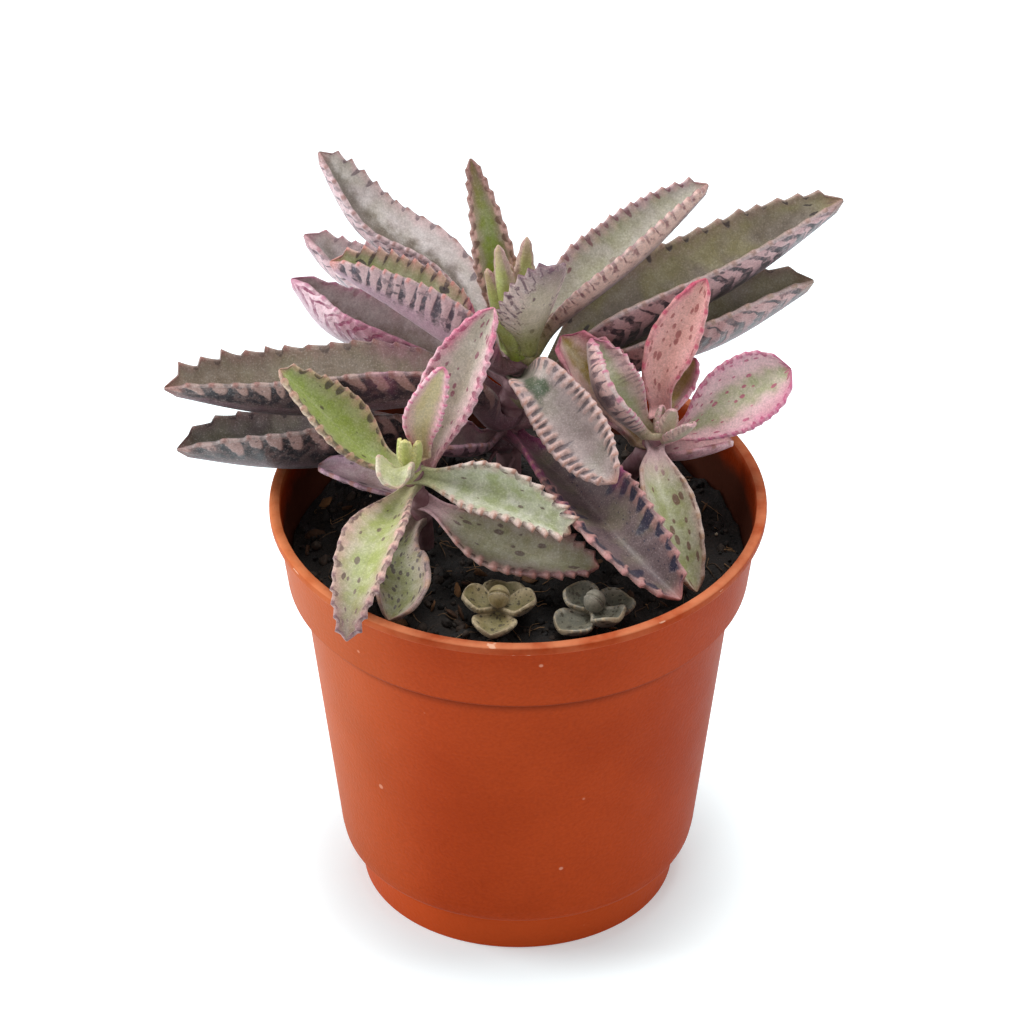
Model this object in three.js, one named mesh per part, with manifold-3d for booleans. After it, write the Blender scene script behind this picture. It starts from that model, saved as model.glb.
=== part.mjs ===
// A potted pink butterflies kalanchoe: three plants and two plantlets in a stepped plastic nursery pot.
// Millimetres, Z up. The pot stands on z = 0, its axis is the Z axis and its front faces -Y.
import * as THREE from 'three';
import { mergeVertices } from 'three/addons/utils/BufferGeometryUtils.js';
import Module from 'manifold-3d';

const wasm = await Module();
wasm.setup();

// Driving dimensions of the pot
const RIM_RADIUS = 52.5;
const POT_HEIGHT = 93.75;
const LIP_HEIGHT = 1.95;
const LIP_WIDTH = 2.1;
const COLLAR_TOP_RADIUS = 50.95;
const COLLAR_FOOT_RADIUS = 48.7;
const STEP_HEIGHT = 75.8;
const BODY_TOP_RADIUS = 45.7;
const BODY_FOOT_RADIUS = 37.8;
const BODY_FOOT_HEIGHT = 13.3;
const FOOT_TOP_HEIGHT = 9.6;
const FOOT_RADIUS = 33.1;
const WALL = 0.9;
const FLOOR = 2.6;
const CHANNEL_DEPTH = 1.6;
const CHANNEL = { inner: 11, outer: 28, slope: 2 };
const DRAIN_HOLES = 6;
const DRAIN_RADIUS = 3;
const DRAIN_CIRCLE = 19.5;
const POT_SIDES = 44;

// Soil and the clearance between pieces that stand in or beside each other
const SOIL_LEVEL = 82;
const SOIL_EDGE_LEVEL = 79.5;
const SOIL_BUMP = 0.7;
const SOIL_SLOPE = { from: 34, to: 47 };
const SOIL_RINGS = [43, 37, 29, 20, 10];
const SOIL_SIDES = 32;
const HOLE_DEPTH = 9;
const GAP = 0.3;

// Leaves: teeth, thickness and the shape of the outline
const TOOTH_LEAN = 0.9;
const TOOTH_PEAK = 0.68;
const TEETH_START = 0.2;
const TEETH_END = 0.965;
const NECK_END = 0.05;
const BLUNTNESS = 2.5;
const TOOTH_DEPTH = { least: 0.35, share: 0.06 };
const MIDRIB_SHARE = 0.12;
const THINNEST_EDGE = 0.85;
const NECK_GAP = 0.6;
const NECK_TURN = 0.9;
const STEM_SIDES = 9;

// Each stem: the points of its axis from its foot in the soil to its crown, and its radius at each
const STEMS = {
  main: {
    colour: 0xa8808a,
    points: [[-2, 25, 73.5], [-2, 25, 82], [-1.8, 24.4, 95], [-0.8, 21.8, 107], [0, 20, 117.5]],
    radii: [2.7, 2.7, 2.6, 2.4, 1.9],
  },
  left: {
    colour: 0xb58d95,
    points: [[-20, -1, 73.5], [-20, -1, 82], [-20.4, -2.6, 92], [-21.6, -5.6, 101], [-22.6, -8, 109.5]],
    radii: [2.4, 2.4, 2.2, 2, 1.8],
  },
  right: {
    colour: 0xb98a8f,
    points: [[20, 15, 73.5], [20, 15, 82], [23, 13, 91], [27.6, 10, 100], [30.4, 7.6, 106.5]],
    radii: [2.4, 2.4, 2.3, 2.1, 1.8],
  },
};

// Each large leaf: the stem and the height on it, the points of its midrib from there to its tip, the half
// width of its blade, its roll about the midrib, the fold at the midrib, the cup of each half and the twist
// along it in degrees, where it is widest, the half width of its neck, and the way that it faces if upright.
// Then its number of teeth, how deep they are on each side, and how bluntly it closes if not as most do.
const LEAVES = [
  { name: 'main_leaf_left_high', stem: 'main', height: 112.5, colour: 0x8f8a86,
    points: [[-16, 36, 126.5], [-32, 41.5, 135.5], [-42, 47.5, 150.5]],
    half: 10.5, roll: 22, fold: 14, cup: 28, twist: -12, widest: 0.5, neck: 2,
    teeth: 13, bite: [0.6, 0.35] },
  { name: 'main_leaf_left_second', stem: 'main', height: 109, colour: 0x9a8b90,
    points: [[-20, 49.5, 106.5], [-37.5, 51, 116.5], [-45.5, 53, 125.5]],
    half: 9.5, roll: 22, fold: 20, cup: 35, twist: 0, widest: 0.6, neck: 1.6,
    teeth: 12, bite: [0.8, 0.35] },
  { name: 'main_leaf_left_third', stem: 'main', height: 104.5, colour: 0xb795a0,
    points: [[-17, 27.5, 110.5], [-38, 33, 115], [-48, 38, 124.5]],
    half: 10.5, roll: 3, fold: 32, cup: 40, twist: 30, widest: 0.6, neck: 1.5,
    teeth: 9, bite: [0.3, 0.3], blunt: 2 },
  { name: 'main_leaf_left_inner', stem: 'main', height: 115, colour: 0x93967a,
    points: [[-12, 15, 124], [-24, 18.5, 131], [-39.5, 22.5, 139.5]],
    half: 10, roll: 16, fold: 42, cup: 36, twist: -30, widest: 0.45, neck: 1.8,
    teeth: 13, bite: [0.9, 0.55] },
  { name: 'main_leaf_left_long', stem: 'main', height: 99.5, colour: 0x84807a,
    points: [[-14, 13.5, 111.5], [-48.5, 15, 108], [-74.5, 10.5, 115.5]],
    half: 12.5, roll: 9, fold: 44, cup: 26, twist: -20, widest: 0.53, neck: 2.4,
    teeth: 13, bite: [1, 0.35] },
  { name: 'main_leaf_left_low', stem: 'main', height: 92.5, colour: 0x6f6a6b,
    points: [[-18.5, 19.5, 96], [-46.5, 11, 97], [-72, 8, 101.5]],
    half: 12.5, roll: 26, fold: 25, cup: 35, twist: -34, widest: 0.65, neck: 1.6,
    teeth: 12, bite: [0.6, 0.4] },
  { name: 'main_leaf_left_small', stem: 'main', height: 96.5, colour: 0x9a6f7c,
    points: [[-9, 17.5, 95.5], [-18.5, 8.5, 101]],
    half: 6, roll: -22, fold: 36, cup: 46, twist: 0, widest: 0.56, neck: 1.2,
    teeth: 4, bite: [0.4, 0.4] },
  { name: 'main_leaf_upright', stem: 'main', height: 117.5, colour: 0xa0a878,
    points: [[-4, 25, 131], [-6.5, 27.5, 145], [-10, 33, 158.5]],
    half: 4.8, roll: -8, fold: 20, cup: 36, twist: 0, widest: 0.5, neck: 1.5, facing: 105,
    teeth: 10, bite: [0.7, 0.7], blunt: 1.5 },
  { name: 'main_leaf_crown_front', stem: 'main', height: 119.5, colour: 0xa58f92,
    points: [[2.5, 17.5, 125], [3.6, 15, 133.5], [8.2, 13.5, 145]],
    half: 7, roll: -5, fold: 8, cup: 26, twist: 4, widest: 0.5, neck: 1.5, facing: -55,
    teeth: 10, bite: [1.5, 0.3], blunt: 3 },
  { name: 'main_leaf_right_high', stem: 'main', height: 116, colour: 0x98988c,
    points: [[8, 26.5, 122.5], [24.5, 30.5, 136], [40, 37.5, 149]],
    half: 9.5, roll: -3, fold: 28, cup: 42, twist: 0, widest: 0.42, neck: 1.4,
    teeth: 15, bite: [0.7, 0.6] },
  { name: 'main_leaf_right_long', stem: 'main', height: 105, colour: 0x86837c,
    points: [[18, 25.5, 116.5], [45, 33, 128.5], [68.5, 37, 145.5]],
    half: 13, roll: -2, fold: 36, cup: 33, twist: 20, widest: 0.36, neck: 2.4,
    teeth: 14, bite: [0.3, 0.6] },
  { name: 'main_leaf_right_low', stem: 'main', height: 98.5, colour: 0x7c7678,
    points: [[21.5, 24, 111.5], [42, 28.5, 116.5], [62.5, 33, 127.5]],
    half: 12, roll: -12, fold: 24, cup: 38, twist: 10, widest: 0.57, neck: 1.6,
    teeth: 12, bite: [0.4, 0.6] },
  { name: 'main_leaf_front_bent', stem: 'main', height: 113, colour: 0x9fa097,
    points: [[3.5, 6, 120.5], [9.5, 0, 116], [15.5, -6.5, 111], [20.5, -13.5, 108]],
    half: 7.6, roll: 28, fold: 16, cup: 34, twist: 30, widest: 0.55, neck: 2,
    teeth: 12, bite: [0.35, 0.3] },
  { name: 'main_leaf_front_low', stem: 'main', height: 96, colour: 0x86737c,
    points: [[5.5, 10, 97], [15, -6.5, 97.5], [22.5, -20.5, 97], [34, -31.5, 91]],
    half: 10.5, roll: 9, fold: 24, cup: 38, twist: 12, widest: 0.56, neck: 1.4,
    teeth: 12, bite: [0.4, 0.6] },
  { name: 'left_leaf_back', stem: 'left', height: 107, colour: 0xa3ad80,
    points: [[-32.5, -1, 107.5], [-50, 4.5, 124.5]],
    half: 7.4, roll: -14, fold: 16, cup: 34, twist: 6, widest: 0.5, neck: 1.6,
    teeth: 9, bite: [0.6, 0.6], blunt: 1.6 },
  { name: 'left_leaf_upright', stem: 'left', height: 104.5, colour: 0xc9a5ad,
    points: [[-15, -0.5, 120], [-5, 5.5, 139.5]],
    half: 7.5, roll: 12, fold: 22, cup: 38, twist: -20, widest: 0.52, neck: 1.6, facing: 65,
    teeth: 9, bite: [0.5, 0.3], blunt: 1.8 },
  { name: 'left_leaf_upright_small', stem: 'left', height: 110, colour: 0xcfb3a8,
    points: [[-20, -6.5, 120], [-15.5, -7, 133]],
    half: 4.5, roll: -12, fold: 22, cup: 38, twist: -8, widest: 0.48, neck: 1.3, facing: 95,
    teeth: 5, bite: [0.5, 0.15], blunt: 1.8 },
  { name: 'left_leaf_right_upper', stem: 'left', height: 106, colour: 0xb3bd9c,
    points: [[-2.5, -15, 105.5], [11, -22, 101]],
    half: 7.3, roll: 46, fold: 28, cup: 42, twist: -22, widest: 0.44, neck: 1.8,
    teeth: 9, bite: [0.8, 0.8], blunt: 1.7 },
  { name: 'left_leaf_right_lower', stem: 'left', height: 97, colour: 0x9a9880,
    points: [[-5, -14, 93], [17, -22, 92.5]],
    half: 7, roll: 35, fold: 15, cup: 32, twist: 0, widest: 0.5, neck: 1.6,
    teeth: 9, bite: [0.4, 0.6], blunt: 1.9 },
  { name: 'left_leaf_over_rim', stem: 'left', height: 103.5, colour: 0xb0b48c,
    points: [[-29.5, -29.5, 105], [-33.5, -43, 100.5], [-35.5, -54, 97]],
    half: 7, roll: 9, fold: 14, cup: 30, twist: 0, widest: 0.48, neck: 1.7,
    teeth: 8, bite: [0.2, 0.4], blunt: 1.6 },
  { name: 'left_leaf_front_low', stem: 'left', height: 92, colour: 0xa0a08a,
    points: [[-26, -16, 89.5], [-24.5, -26, 88], [-27, -32, 86]],
    half: 8, roll: 0, fold: 20, cup: 35, twist: 0, widest: 0.55, neck: 1.4,
    teeth: 3, bite: [0.15, 0.15] },
  { name: 'left_leaf_side_small', stem: 'left', height: 98, colour: 0xa9808c,
    points: [[-35, 1, 100], [-42, 6, 99]],
    half: 3.8, roll: -14, fold: 16, cup: 32, twist: 8, widest: 0.45, neck: 1.5,
    teeth: 3, bite: [0.3, 0.3] },
  { name: 'left_leaf_crown_front', stem: 'left', height: 107, colour: 0xaeb58c,
    points: [[-26, -18, 115], [-24, -20, 111.5]],
    half: 4, roll: -8, fold: 22, cup: 36, twist: 0, widest: 0.6, neck: 1.8,
    teeth: 2, bite: [0.15, 0.15], blunt: 3.2 },
  { name: 'right_leaf_upright', stem: 'right', height: 110, colour: 0xd69a98,
    points: [[30, 12, 118], [34.7, 16, 128.5], [39.5, 19, 137.5]],
    half: 5.5, roll: 2, fold: 14, cup: 32, twist: 0, widest: 0.5, neck: 2.2, facing: 80,
    teeth: 4, bite: [0.15, 0.15], blunt: 1.7 },
  { name: 'right_leaf_upright_small', stem: 'right', height: 108.5, colour: 0xcfa49a,
    points: [[34, 20, 108.5], [37.5, 20.5, 116]],
    half: 4, roll: 0, fold: 20, cup: 36, twist: 0, widest: 0.5, neck: 1.2, facing: 60,
    teeth: 3, bite: [0.3, 0.3] },
  { name: 'right_leaf_outer', stem: 'right', height: 104.5, colour: 0xc48f9f,
    points: [[37.5, 9.5, 106.5], [45, 10.5, 112], [57.5, 14, 118]],
    half: 8.2, roll: 50, fold: 12, cup: 34, twist: -20, widest: 0.6, neck: 1.5,
    teeth: 6, bite: [0.2, 0.2], blunt: 2.8 },
  { name: 'right_leaf_outer_low', stem: 'right', height: 98.5, colour: 0xc2a0a4,
    points: [[36, 10, 99.5], [45.5, 13, 100]],
    half: 5, roll: 0, fold: 22, cup: 38, twist: 0, widest: 0.5, neck: 1.4, teeth: 3, bite: [0.2, 0.2] },
  { name: 'right_leaf_inner_front', stem: 'right', height: 106.5, colour: 0xa08d80,
    points: [[19, 5.5, 116.5], [16.5, 10, 122], [15.5, 13, 126.5]],
    half: 8, roll: 0, fold: 36, cup: 46, twist: -8, widest: 0.48, neck: 1.6, teeth: 9, bite: [0.4, 0.2] },
  { name: 'right_leaf_inner_back', stem: 'right', height: 102, colour: 0xb98c8c,
    points: [[19.5, 12, 111], [12, 14, 121], [9, 16, 125]],
    half: 8, roll: -22, fold: 16, cup: 34, twist: 0, widest: 0.51, neck: 1.5,
    teeth: 6, bite: [0.6, 0.6] },
  { name: 'right_leaf_hanging', stem: 'right', height: 103, colour: 0x99a088,
    points: [[29.5, -5, 102], [33, -14, 96], [37.5, -22, 86]],
    half: 6.5, roll: 0, fold: 24, cup: 38, twist: 0, widest: 0.5, neck: 1.6,
    teeth: 4, bite: [0.15, 0.15], blunt: 1.8 },
];

// Young leaves that are one piece with a stem's crown: the tip, the half width and the way that each faces
const YOUNG_SINK = 2;
const YOUNG_BULGE = 0.8;
const YOUNG_SHAPE = {
  roll: 0, fold: 14, cup: 40, twist: 0, widest: 0.5, neck: 1.1, teeth: 2, bite: [0.6, 0.6], blunt: 1.8,
};
const YOUNG_LEAVES = {
  main: [
    { tip: [-4.1, 17, 147], half: 2.4, facing: -110 },
    { tip: [1.5, 21, 146], half: 2.6, facing: 60 },
    { tip: [-2.2, 19.5, 141], half: 1.7, facing: -70 },
    { tip: [-6.2, 19.5, 140], half: 2, facing: 170 },
  ],
  left: [
    { tip: [-23, -11.5, 117], half: 2.2, facing: -90 },
    { tip: [-20.8, -10.8, 116], half: 1.9, facing: -30 },
    { tip: [-25, -10, 115.5], half: 1.8, facing: 190 },
  ],
  right: [
    { tip: [32.6, 6.5, 113], half: 1.6, facing: -80 },
    { tip: [36.8, 1, 113], half: 1.9, facing: -60 },
    { tip: [30.4, 8, 112.5], half: 1.5, facing: 150 },
  ],
};

// Each plantlet: its place on the soil, the height of its bud and the turn of its first pair of leaves
const PLANTLETS = [
  { name: 'plantlet_left', at: [-4, -28], top: 89.5, turn: 172, colour: 0x8c8a6a },
  { name: 'plantlet_right', at: [16, -29], top: 89, turn: 130, colour: 0x7f8066 },
];
const PLANTLET_PAIRS = [
  { drop: 2.4, reach: 7.6, half: 4.3, rise: 1.4 },
  { drop: 4.2, reach: 9.4, half: 4.8, rise: 0.4 },
];
const PLANTLET_SHAPE = {
  roll: 0, fold: 4, cup: 22, twist: 0, widest: 0.6, neck: 1.2, teeth: 2, bite: [0.5, 0.5],
};
const PLANTLET_TURN = 88;
const PLANTLET_BUD = { radius: 2.2, height: 2.5 };
const PLANTLET_STEM_RADIUS = 1.1;

const COLOURS = { pot: 0xa6421f, soil: 0x1c1613 };

const radians = THREE.MathUtils.degToRad;
const { smoothstep } = THREE.MathUtils;
const UP = new THREE.Vector3(0, 0, 1);

// A closed surface through rings of points, with a point at each end. spread tells how far out each point
// of a ring lies, so that both faces of a blade are split into triangles alike.
function loft(rings, start, end, spread) {
  const count = rings[0].length;
  const vertices = rings.flat();
  const first = vertices.push(start) - 1;
  const last = vertices.push(end) - 1;
  const faces = [];
  rings.forEach((ring, i) => {
    for (let j = 0; j < count; j += 1) {
      const k = (j + 1) % count;
      const [a, b] = [i * count + j, i * count + k];
      const [c, d] = [a + count, b + count];
      if (i === 0) faces.push(first, a, b);
      if (i === rings.length - 1) faces.push(last, b, a);
      else if (spread[k] > spread[j]) faces.push(a, c, d, a, d, b);
      else faces.push(a, c, b, b, c, d);
    }
  });
  const geometry = new THREE.BufferGeometry();
  geometry.setFromPoints(vertices);
  geometry.setIndex(faces);
  return geometry;
}

// Joins and cuts are made on closed solids with shared vertices
function toSolid(geometry) {
  const bare = geometry.clone();
  bare.deleteAttribute('normal');
  bare.deleteAttribute('uv');
  const merged = mergeVertices(bare, 1e-4);
  const mesh = new wasm.Mesh({
    numProp: 3,
    vertProperties: new Float32Array(merged.attributes.position.array),
    triVerts: new Uint32Array(merged.index.array),
  });
  return new wasm.Manifold(mesh);
}

function toGeometry(solid) {
  const mesh = solid.getMesh();
  const geometry = new THREE.BufferGeometry();
  geometry.setAttribute('position', new THREE.BufferAttribute(new Float32Array(mesh.vertProperties), 3));
  geometry.setIndex(new THREE.BufferAttribute(new Uint32Array(mesh.triVerts), 1));
  return geometry;
}

function makeMesh(name, geometry, colour, roughness) {
  geometry.computeVertexNormals();
  const material = new THREE.MeshStandardMaterial({ color: colour, roughness, metalness: 0 });
  const mesh = new THREE.Mesh(geometry, material);
  mesh.name = name;
  return mesh;
}

// The half width of a blade at a share of its length: a narrow neck, a full middle and a pointed tip
function halfWidth(leaf, share) {
  if (share <= NECK_END) return leaf.neck;
  const { widest } = leaf;
  const full = share < widest
    ? Math.sin((Math.PI / 2) * ((share - NECK_END) / (widest - NECK_END))) ** 1.25
    : Math.max(1 - ((share - widest) / (1 - widest)) ** (leaf.blunt ?? BLUNTNESS), 0) ** 0.78;
  return leaf.neck * (1 - smoothstep(share, NECK_END, widest + 0.1)) * (1 - full) + leaf.half * full;
}

// The directions along, across and out of the blade at a share of its length
function bladeFrame(leaf, curve, share) {
  const along = curve.getTangentAt(share);
  const tip = curve.getPointAt(1);
  const base = curve.getPointAt(0);
  const facing = leaf.facing === undefined
    ? Math.atan2(tip.y - base.y, tip.x - base.x)
    : radians(leaf.facing);
  const ahead = new THREE.Vector3(Math.cos(facing), Math.sin(facing), 0);
  const across = new THREE.Vector3().crossVectors(UP, ahead);
  across.addScaledVector(along, -across.dot(along)).normalize();
  across.applyAxisAngle(along, radians(leaf.roll + leaf.twist * (share - 0.5)));
  const out = new THREE.Vector3().crossVectors(along, across);
  return { along, across, out };
}

// A ring of eight points round a canoe-shaped blade: three on its face and five on its back
const RING = [[-1, 0], [0, 0], [1, 0], [1, 1], [0.5, 1], [0, 1], [-0.5, 1], [-1, 1]];
const RING_SPREAD = RING.map(([v]) => Math.abs(v));

function bladeRing(leaf, curve, share, depth) {
  const { along, across, out } = bladeFrame(leaf, curve, share);
  const centre = curve.getPointAt(share);
  const fold = radians(leaf.fold);
  const cup = radians(leaf.cup);
  const middle = (1.1 + MIDRIB_SHARE * leaf.half) * (1 - 0.45 * share ** 3);
  return RING.map(([v, back]) => {
    const reach = Math.abs(v);
    const lean = fold + cup * reach;
    const tooth = depth * leaf.bite[v < 0 ? 0 : 1];
    const half = halfWidth(leaf, share) + tooth;
    const sideways = Math.sign(v) * (half / cup) * (Math.sin(lean) - Math.sin(fold));
    const rise = (half / cup) * (Math.cos(fold) - Math.cos(lean));
    const thickness = back * (THINNEST_EDGE + (middle - THINNEST_EDGE) * (1 - reach ** 1.6));
    const point = centre.clone();
    point.addScaledVector(across, sideways + Math.sign(v) * thickness * Math.sin(lean));
    point.addScaledVector(out, rise - thickness * Math.cos(v === 0 ? 0 : lean));
    point.addScaledVector(along, reach ** 3 * tooth * TOOTH_LEAN);
    return point;
  });
}

// A leaf along a curve. Each tooth has a ring at its notch and one at its peak, which leans to the tip.
function leafGeometry(leaf, curve) {
  const depth = TOOTH_DEPTH.least + TOOTH_DEPTH.share * leaf.half;
  const step = (TEETH_END - TEETH_START) / leaf.teeth;
  const neck = leaf.teeth < 3 ? [0, 0.5 * TEETH_START] : [0, NECK_END, 0.6 * TEETH_START];
  const rings = neck.map((share) => bladeRing(leaf, curve, share, 0));
  for (let i = 0; i < leaf.teeth; i += 1) {
    const notch = TEETH_START + i * step;
    rings.push(bladeRing(leaf, curve, notch, 0));
    rings.push(bladeRing(leaf, curve, notch + TOOTH_PEAK * step, depth));
  }
  rings.push(bladeRing(leaf, curve, TEETH_END, 0));
  const start = rings[0][1].clone().lerp(rings[0][5], 0.5);
  const tip = curve.getPointAt(1);
  return loft(rings, start, tip, RING_SPREAD);
}

function curveThrough(points) {
  return new THREE.CatmullRomCurve3(points.map((p) => new THREE.Vector3(...p)), false, 'catmullrom', 0.5);
}

// The point of a stem's axis at a height, with the stem's radius there
function stemAt(stem, height) {
  const { points, radii } = stem;
  const last = points.length - 2;
  const above = points.findIndex((p) => p[2] > height);
  const i = above < 0 ? last : Math.min(above - 1, last);
  const share = Math.min((height - points[i][2]) / (points[i + 1][2] - points[i][2]), 1);
  const centre = new THREE.Vector3(...points[i]).lerp(new THREE.Vector3(...points[i + 1]), share);
  return { centre, radius: radii[i] + (radii[i + 1] - radii[i]) * share };
}

// A leaf's neck starts a gap away from its stem, on the side that the leaf leaves it
function leafCurve(leaf) {
  const { centre, radius } = stemAt(STEMS[leaf.stem], leaf.height);
  const toward = new THREE.Vector3(...leaf.points[0]).sub(centre).normalize();
  const seatGap = NECK_GAP + NECK_TURN * Math.abs(toward.z);
  toward.z = 0;
  toward.normalize();
  const seat = centre.clone().addScaledVector(toward, radius + seatGap);
  seat.z = leaf.height;
  return curveThrough([seat.toArray(), ...leaf.points]);
}

function makeLeaf(leaf) {
  return makeMesh(leaf.name, leafGeometry(leaf, leafCurve(leaf)), leaf.colour, 0.55);
}

// A round stem whose radius changes from point to point
function stemGeometry(stem) {
  const spread = new Array(STEM_SIDES).fill(0);
  const centres = stem.points.map((p) => new THREE.Vector3(...p));
  const rings = centres.map((centre, i) => {
    const before = centres[Math.max(i - 1, 0)];
    const after = centres[Math.min(i + 1, centres.length - 1)];
    const along = i < 2 ? UP : after.clone().sub(before).normalize();
    const turn = new THREE.Quaternion().setFromUnitVectors(UP, along);
    return Array.from({ length: STEM_SIDES }, (_, j) => {
      const angle = (-2 * Math.PI * j) / STEM_SIDES;
      const offset = new THREE.Vector3(Math.cos(angle), Math.sin(angle), 0).multiplyScalar(stem.radii[i]);
      return centre.clone().add(offset.applyQuaternion(turn));
    });
  });
  const top = centres.at(-1).clone();
  top.z += 0.5 * stem.radii.at(-1);
  return loft(rings, centres[0].clone(), top, spread);
}

// A stem with the young leaves of its crown, which are one piece with it
function makeStem(key) {
  const stem = STEMS[key];
  const crown = stem.points.at(-1);
  const solids = YOUNG_LEAVES[key].map((young) => {
    const base = new THREE.Vector3(...crown);
    const tip = new THREE.Vector3(...young.tip);
    const bulge = new THREE.Vector3(Math.cos(radians(young.facing)), Math.sin(radians(young.facing)), 0);
    base.z -= YOUNG_SINK;
    const middle = base.clone().lerp(tip, 0.45).addScaledVector(bulge, YOUNG_BULGE);
    const leaf = { ...YOUNG_SHAPE, ...young };
    return toSolid(leafGeometry(leaf, curveThrough([base, middle, tip].map((p) => p.toArray()))));
  });
  const solid = solids.reduce((joined, next) => joined.add(next), toSolid(stemGeometry(stem)));
  return makeMesh(`${key}_stem`, toGeometry(solid), stem.colour, 0.6);
}

// A plantlet: a short stem with crossed pairs of round leaves and a closed bud on top
function makePlantlet(plantlet) {
  const [x, y] = plantlet.at;
  const foot = SOIL_LEVEL - HOLE_DEPTH + GAP;
  const stem = {
    points: [[x, y, foot], [x, y, SOIL_LEVEL], [x, y, plantlet.top - 1]],
    radii: [PLANTLET_STEM_RADIUS, PLANTLET_STEM_RADIUS, PLANTLET_STEM_RADIUS],
  };
  let solid = toSolid(stemGeometry(stem));
  PLANTLET_PAIRS.forEach((pair, i) => {
    for (const half of [0, 180]) {
      const facing = plantlet.turn + PLANTLET_TURN * i + half;
      const ahead = [Math.cos(radians(facing)), Math.sin(radians(facing))];
      const z = plantlet.top - pair.drop;
      const reachTo = (reach, height) => [x + reach * ahead[0], y + reach * ahead[1], height];
      const points = [[x, y, z], reachTo(0.55 * pair.reach, z - 0.2), reachTo(pair.reach, z + pair.rise)];
      const leaf = { ...PLANTLET_SHAPE, half: pair.half };
      solid = solid.add(toSolid(leafGeometry(leaf, curveThrough(points))));
    }
  });
  const bud = new THREE.SphereGeometry(PLANTLET_BUD.radius, 7, 5);
  bud.rotateX(Math.PI / 2);
  bud.scale(1, 1, PLANTLET_BUD.height / PLANTLET_BUD.radius);
  bud.translate(x, y, plantlet.top - 0.4 * PLANTLET_BUD.height);
  return makeMesh(plantlet.name, toGeometry(solid.add(toSolid(bud))), plantlet.colour, 0.7);
}

// A lathe about the Z axis from a profile of radius and height, listed upward on the outside
function latheAboutZ(profile, sides) {
  const geometry = new THREE.LatheGeometry(profile.map(([r, z]) => new THREE.Vector2(r, z)), sides);
  geometry.rotateX(Math.PI / 2);
  return geometry;
}

// The pot's outside, from the middle of its foot up to the inner edge of its lip
function potOutside() {
  return [
    [0, 0],
    [CHANNEL.inner, 0],
    [CHANNEL.inner + CHANNEL.slope, CHANNEL_DEPTH],
    [CHANNEL.outer - CHANNEL.slope, CHANNEL_DEPTH],
    [CHANNEL.outer, 0],
    [FOOT_RADIUS, 0],
    [FOOT_RADIUS + 0.3, FOOT_TOP_HEIGHT - 0.3],
    [BODY_FOOT_RADIUS - 1.6, FOOT_TOP_HEIGHT],
    [BODY_FOOT_RADIUS - 0.5, FOOT_TOP_HEIGHT + 1.4],
    [BODY_FOOT_RADIUS, BODY_FOOT_HEIGHT],
    [BODY_TOP_RADIUS, STEP_HEIGHT],
    [COLLAR_FOOT_RADIUS, STEP_HEIGHT],
    [COLLAR_TOP_RADIUS, POT_HEIGHT - LIP_HEIGHT],
    [RIM_RADIUS, POT_HEIGHT - LIP_HEIGHT],
    [RIM_RADIUS, POT_HEIGHT - 0.5],
    [RIM_RADIUS - 0.5, POT_HEIGHT],
    [RIM_RADIUS - LIP_WIDTH, POT_HEIGHT],
  ];
}

// The pot's inside, from its floor up to below its lip. grown moves it inward for the soil.
function potInside(grown) {
  return [
    [FOOT_RADIUS - WALL - grown, FLOOR + grown],
    [FOOT_RADIUS + 0.3 - WALL - grown, FOOT_TOP_HEIGHT + WALL + grown],
    [BODY_FOOT_RADIUS - 2 - grown, FOOT_TOP_HEIGHT + WALL + grown],
    [BODY_FOOT_RADIUS - WALL - grown, BODY_FOOT_HEIGHT + WALL],
    [BODY_TOP_RADIUS - WALL - grown, STEP_HEIGHT],
    [BODY_TOP_RADIUS - WALL - grown, STEP_HEIGHT + WALL + grown],
    [COLLAR_FOOT_RADIUS - WALL - grown, STEP_HEIGHT + WALL + grown],
  ];
}

function makePot() {
  const inside = [...potInside(0), [COLLAR_TOP_RADIUS - WALL, POT_HEIGHT - LIP_HEIGHT]].reverse();
  const shell = latheAboutZ([...potOutside(), ...inside, [0, FLOOR]], POT_SIDES);
  let solid = toSolid(shell);
  for (let i = 0; i < DRAIN_HOLES; i += 1) {
    const angle = (2 * Math.PI * i) / DRAIN_HOLES;
    const drill = new THREE.CylinderGeometry(DRAIN_RADIUS, DRAIN_RADIUS, 4 * FLOOR, 12);
    drill.rotateX(Math.PI / 2);
    drill.translate(DRAIN_CIRCLE * Math.cos(angle), DRAIN_CIRCLE * Math.sin(angle), 0);
    solid = solid.subtract(toSolid(drill));
  }
  return makeMesh('pot', toGeometry(solid), COLOURS.pot, 0.45);
}

// The soil's uneven top: waves of a few lengths, which sink toward the wall
function soilHeight(x, y) {
  const r = Math.hypot(x, y);
  const waves = Math.sin(0.31 * x + 1.2) * Math.cos(0.27 * y) + 0.6 * Math.sin(0.7 * x - 0.5 * y);
  const sunk = (SOIL_LEVEL - SOIL_EDGE_LEVEL) * smoothstep(r, SOIL_SLOPE.from, SOIL_SLOPE.to);
  return SOIL_LEVEL + SOIL_BUMP * waves - sunk;
}

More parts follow.
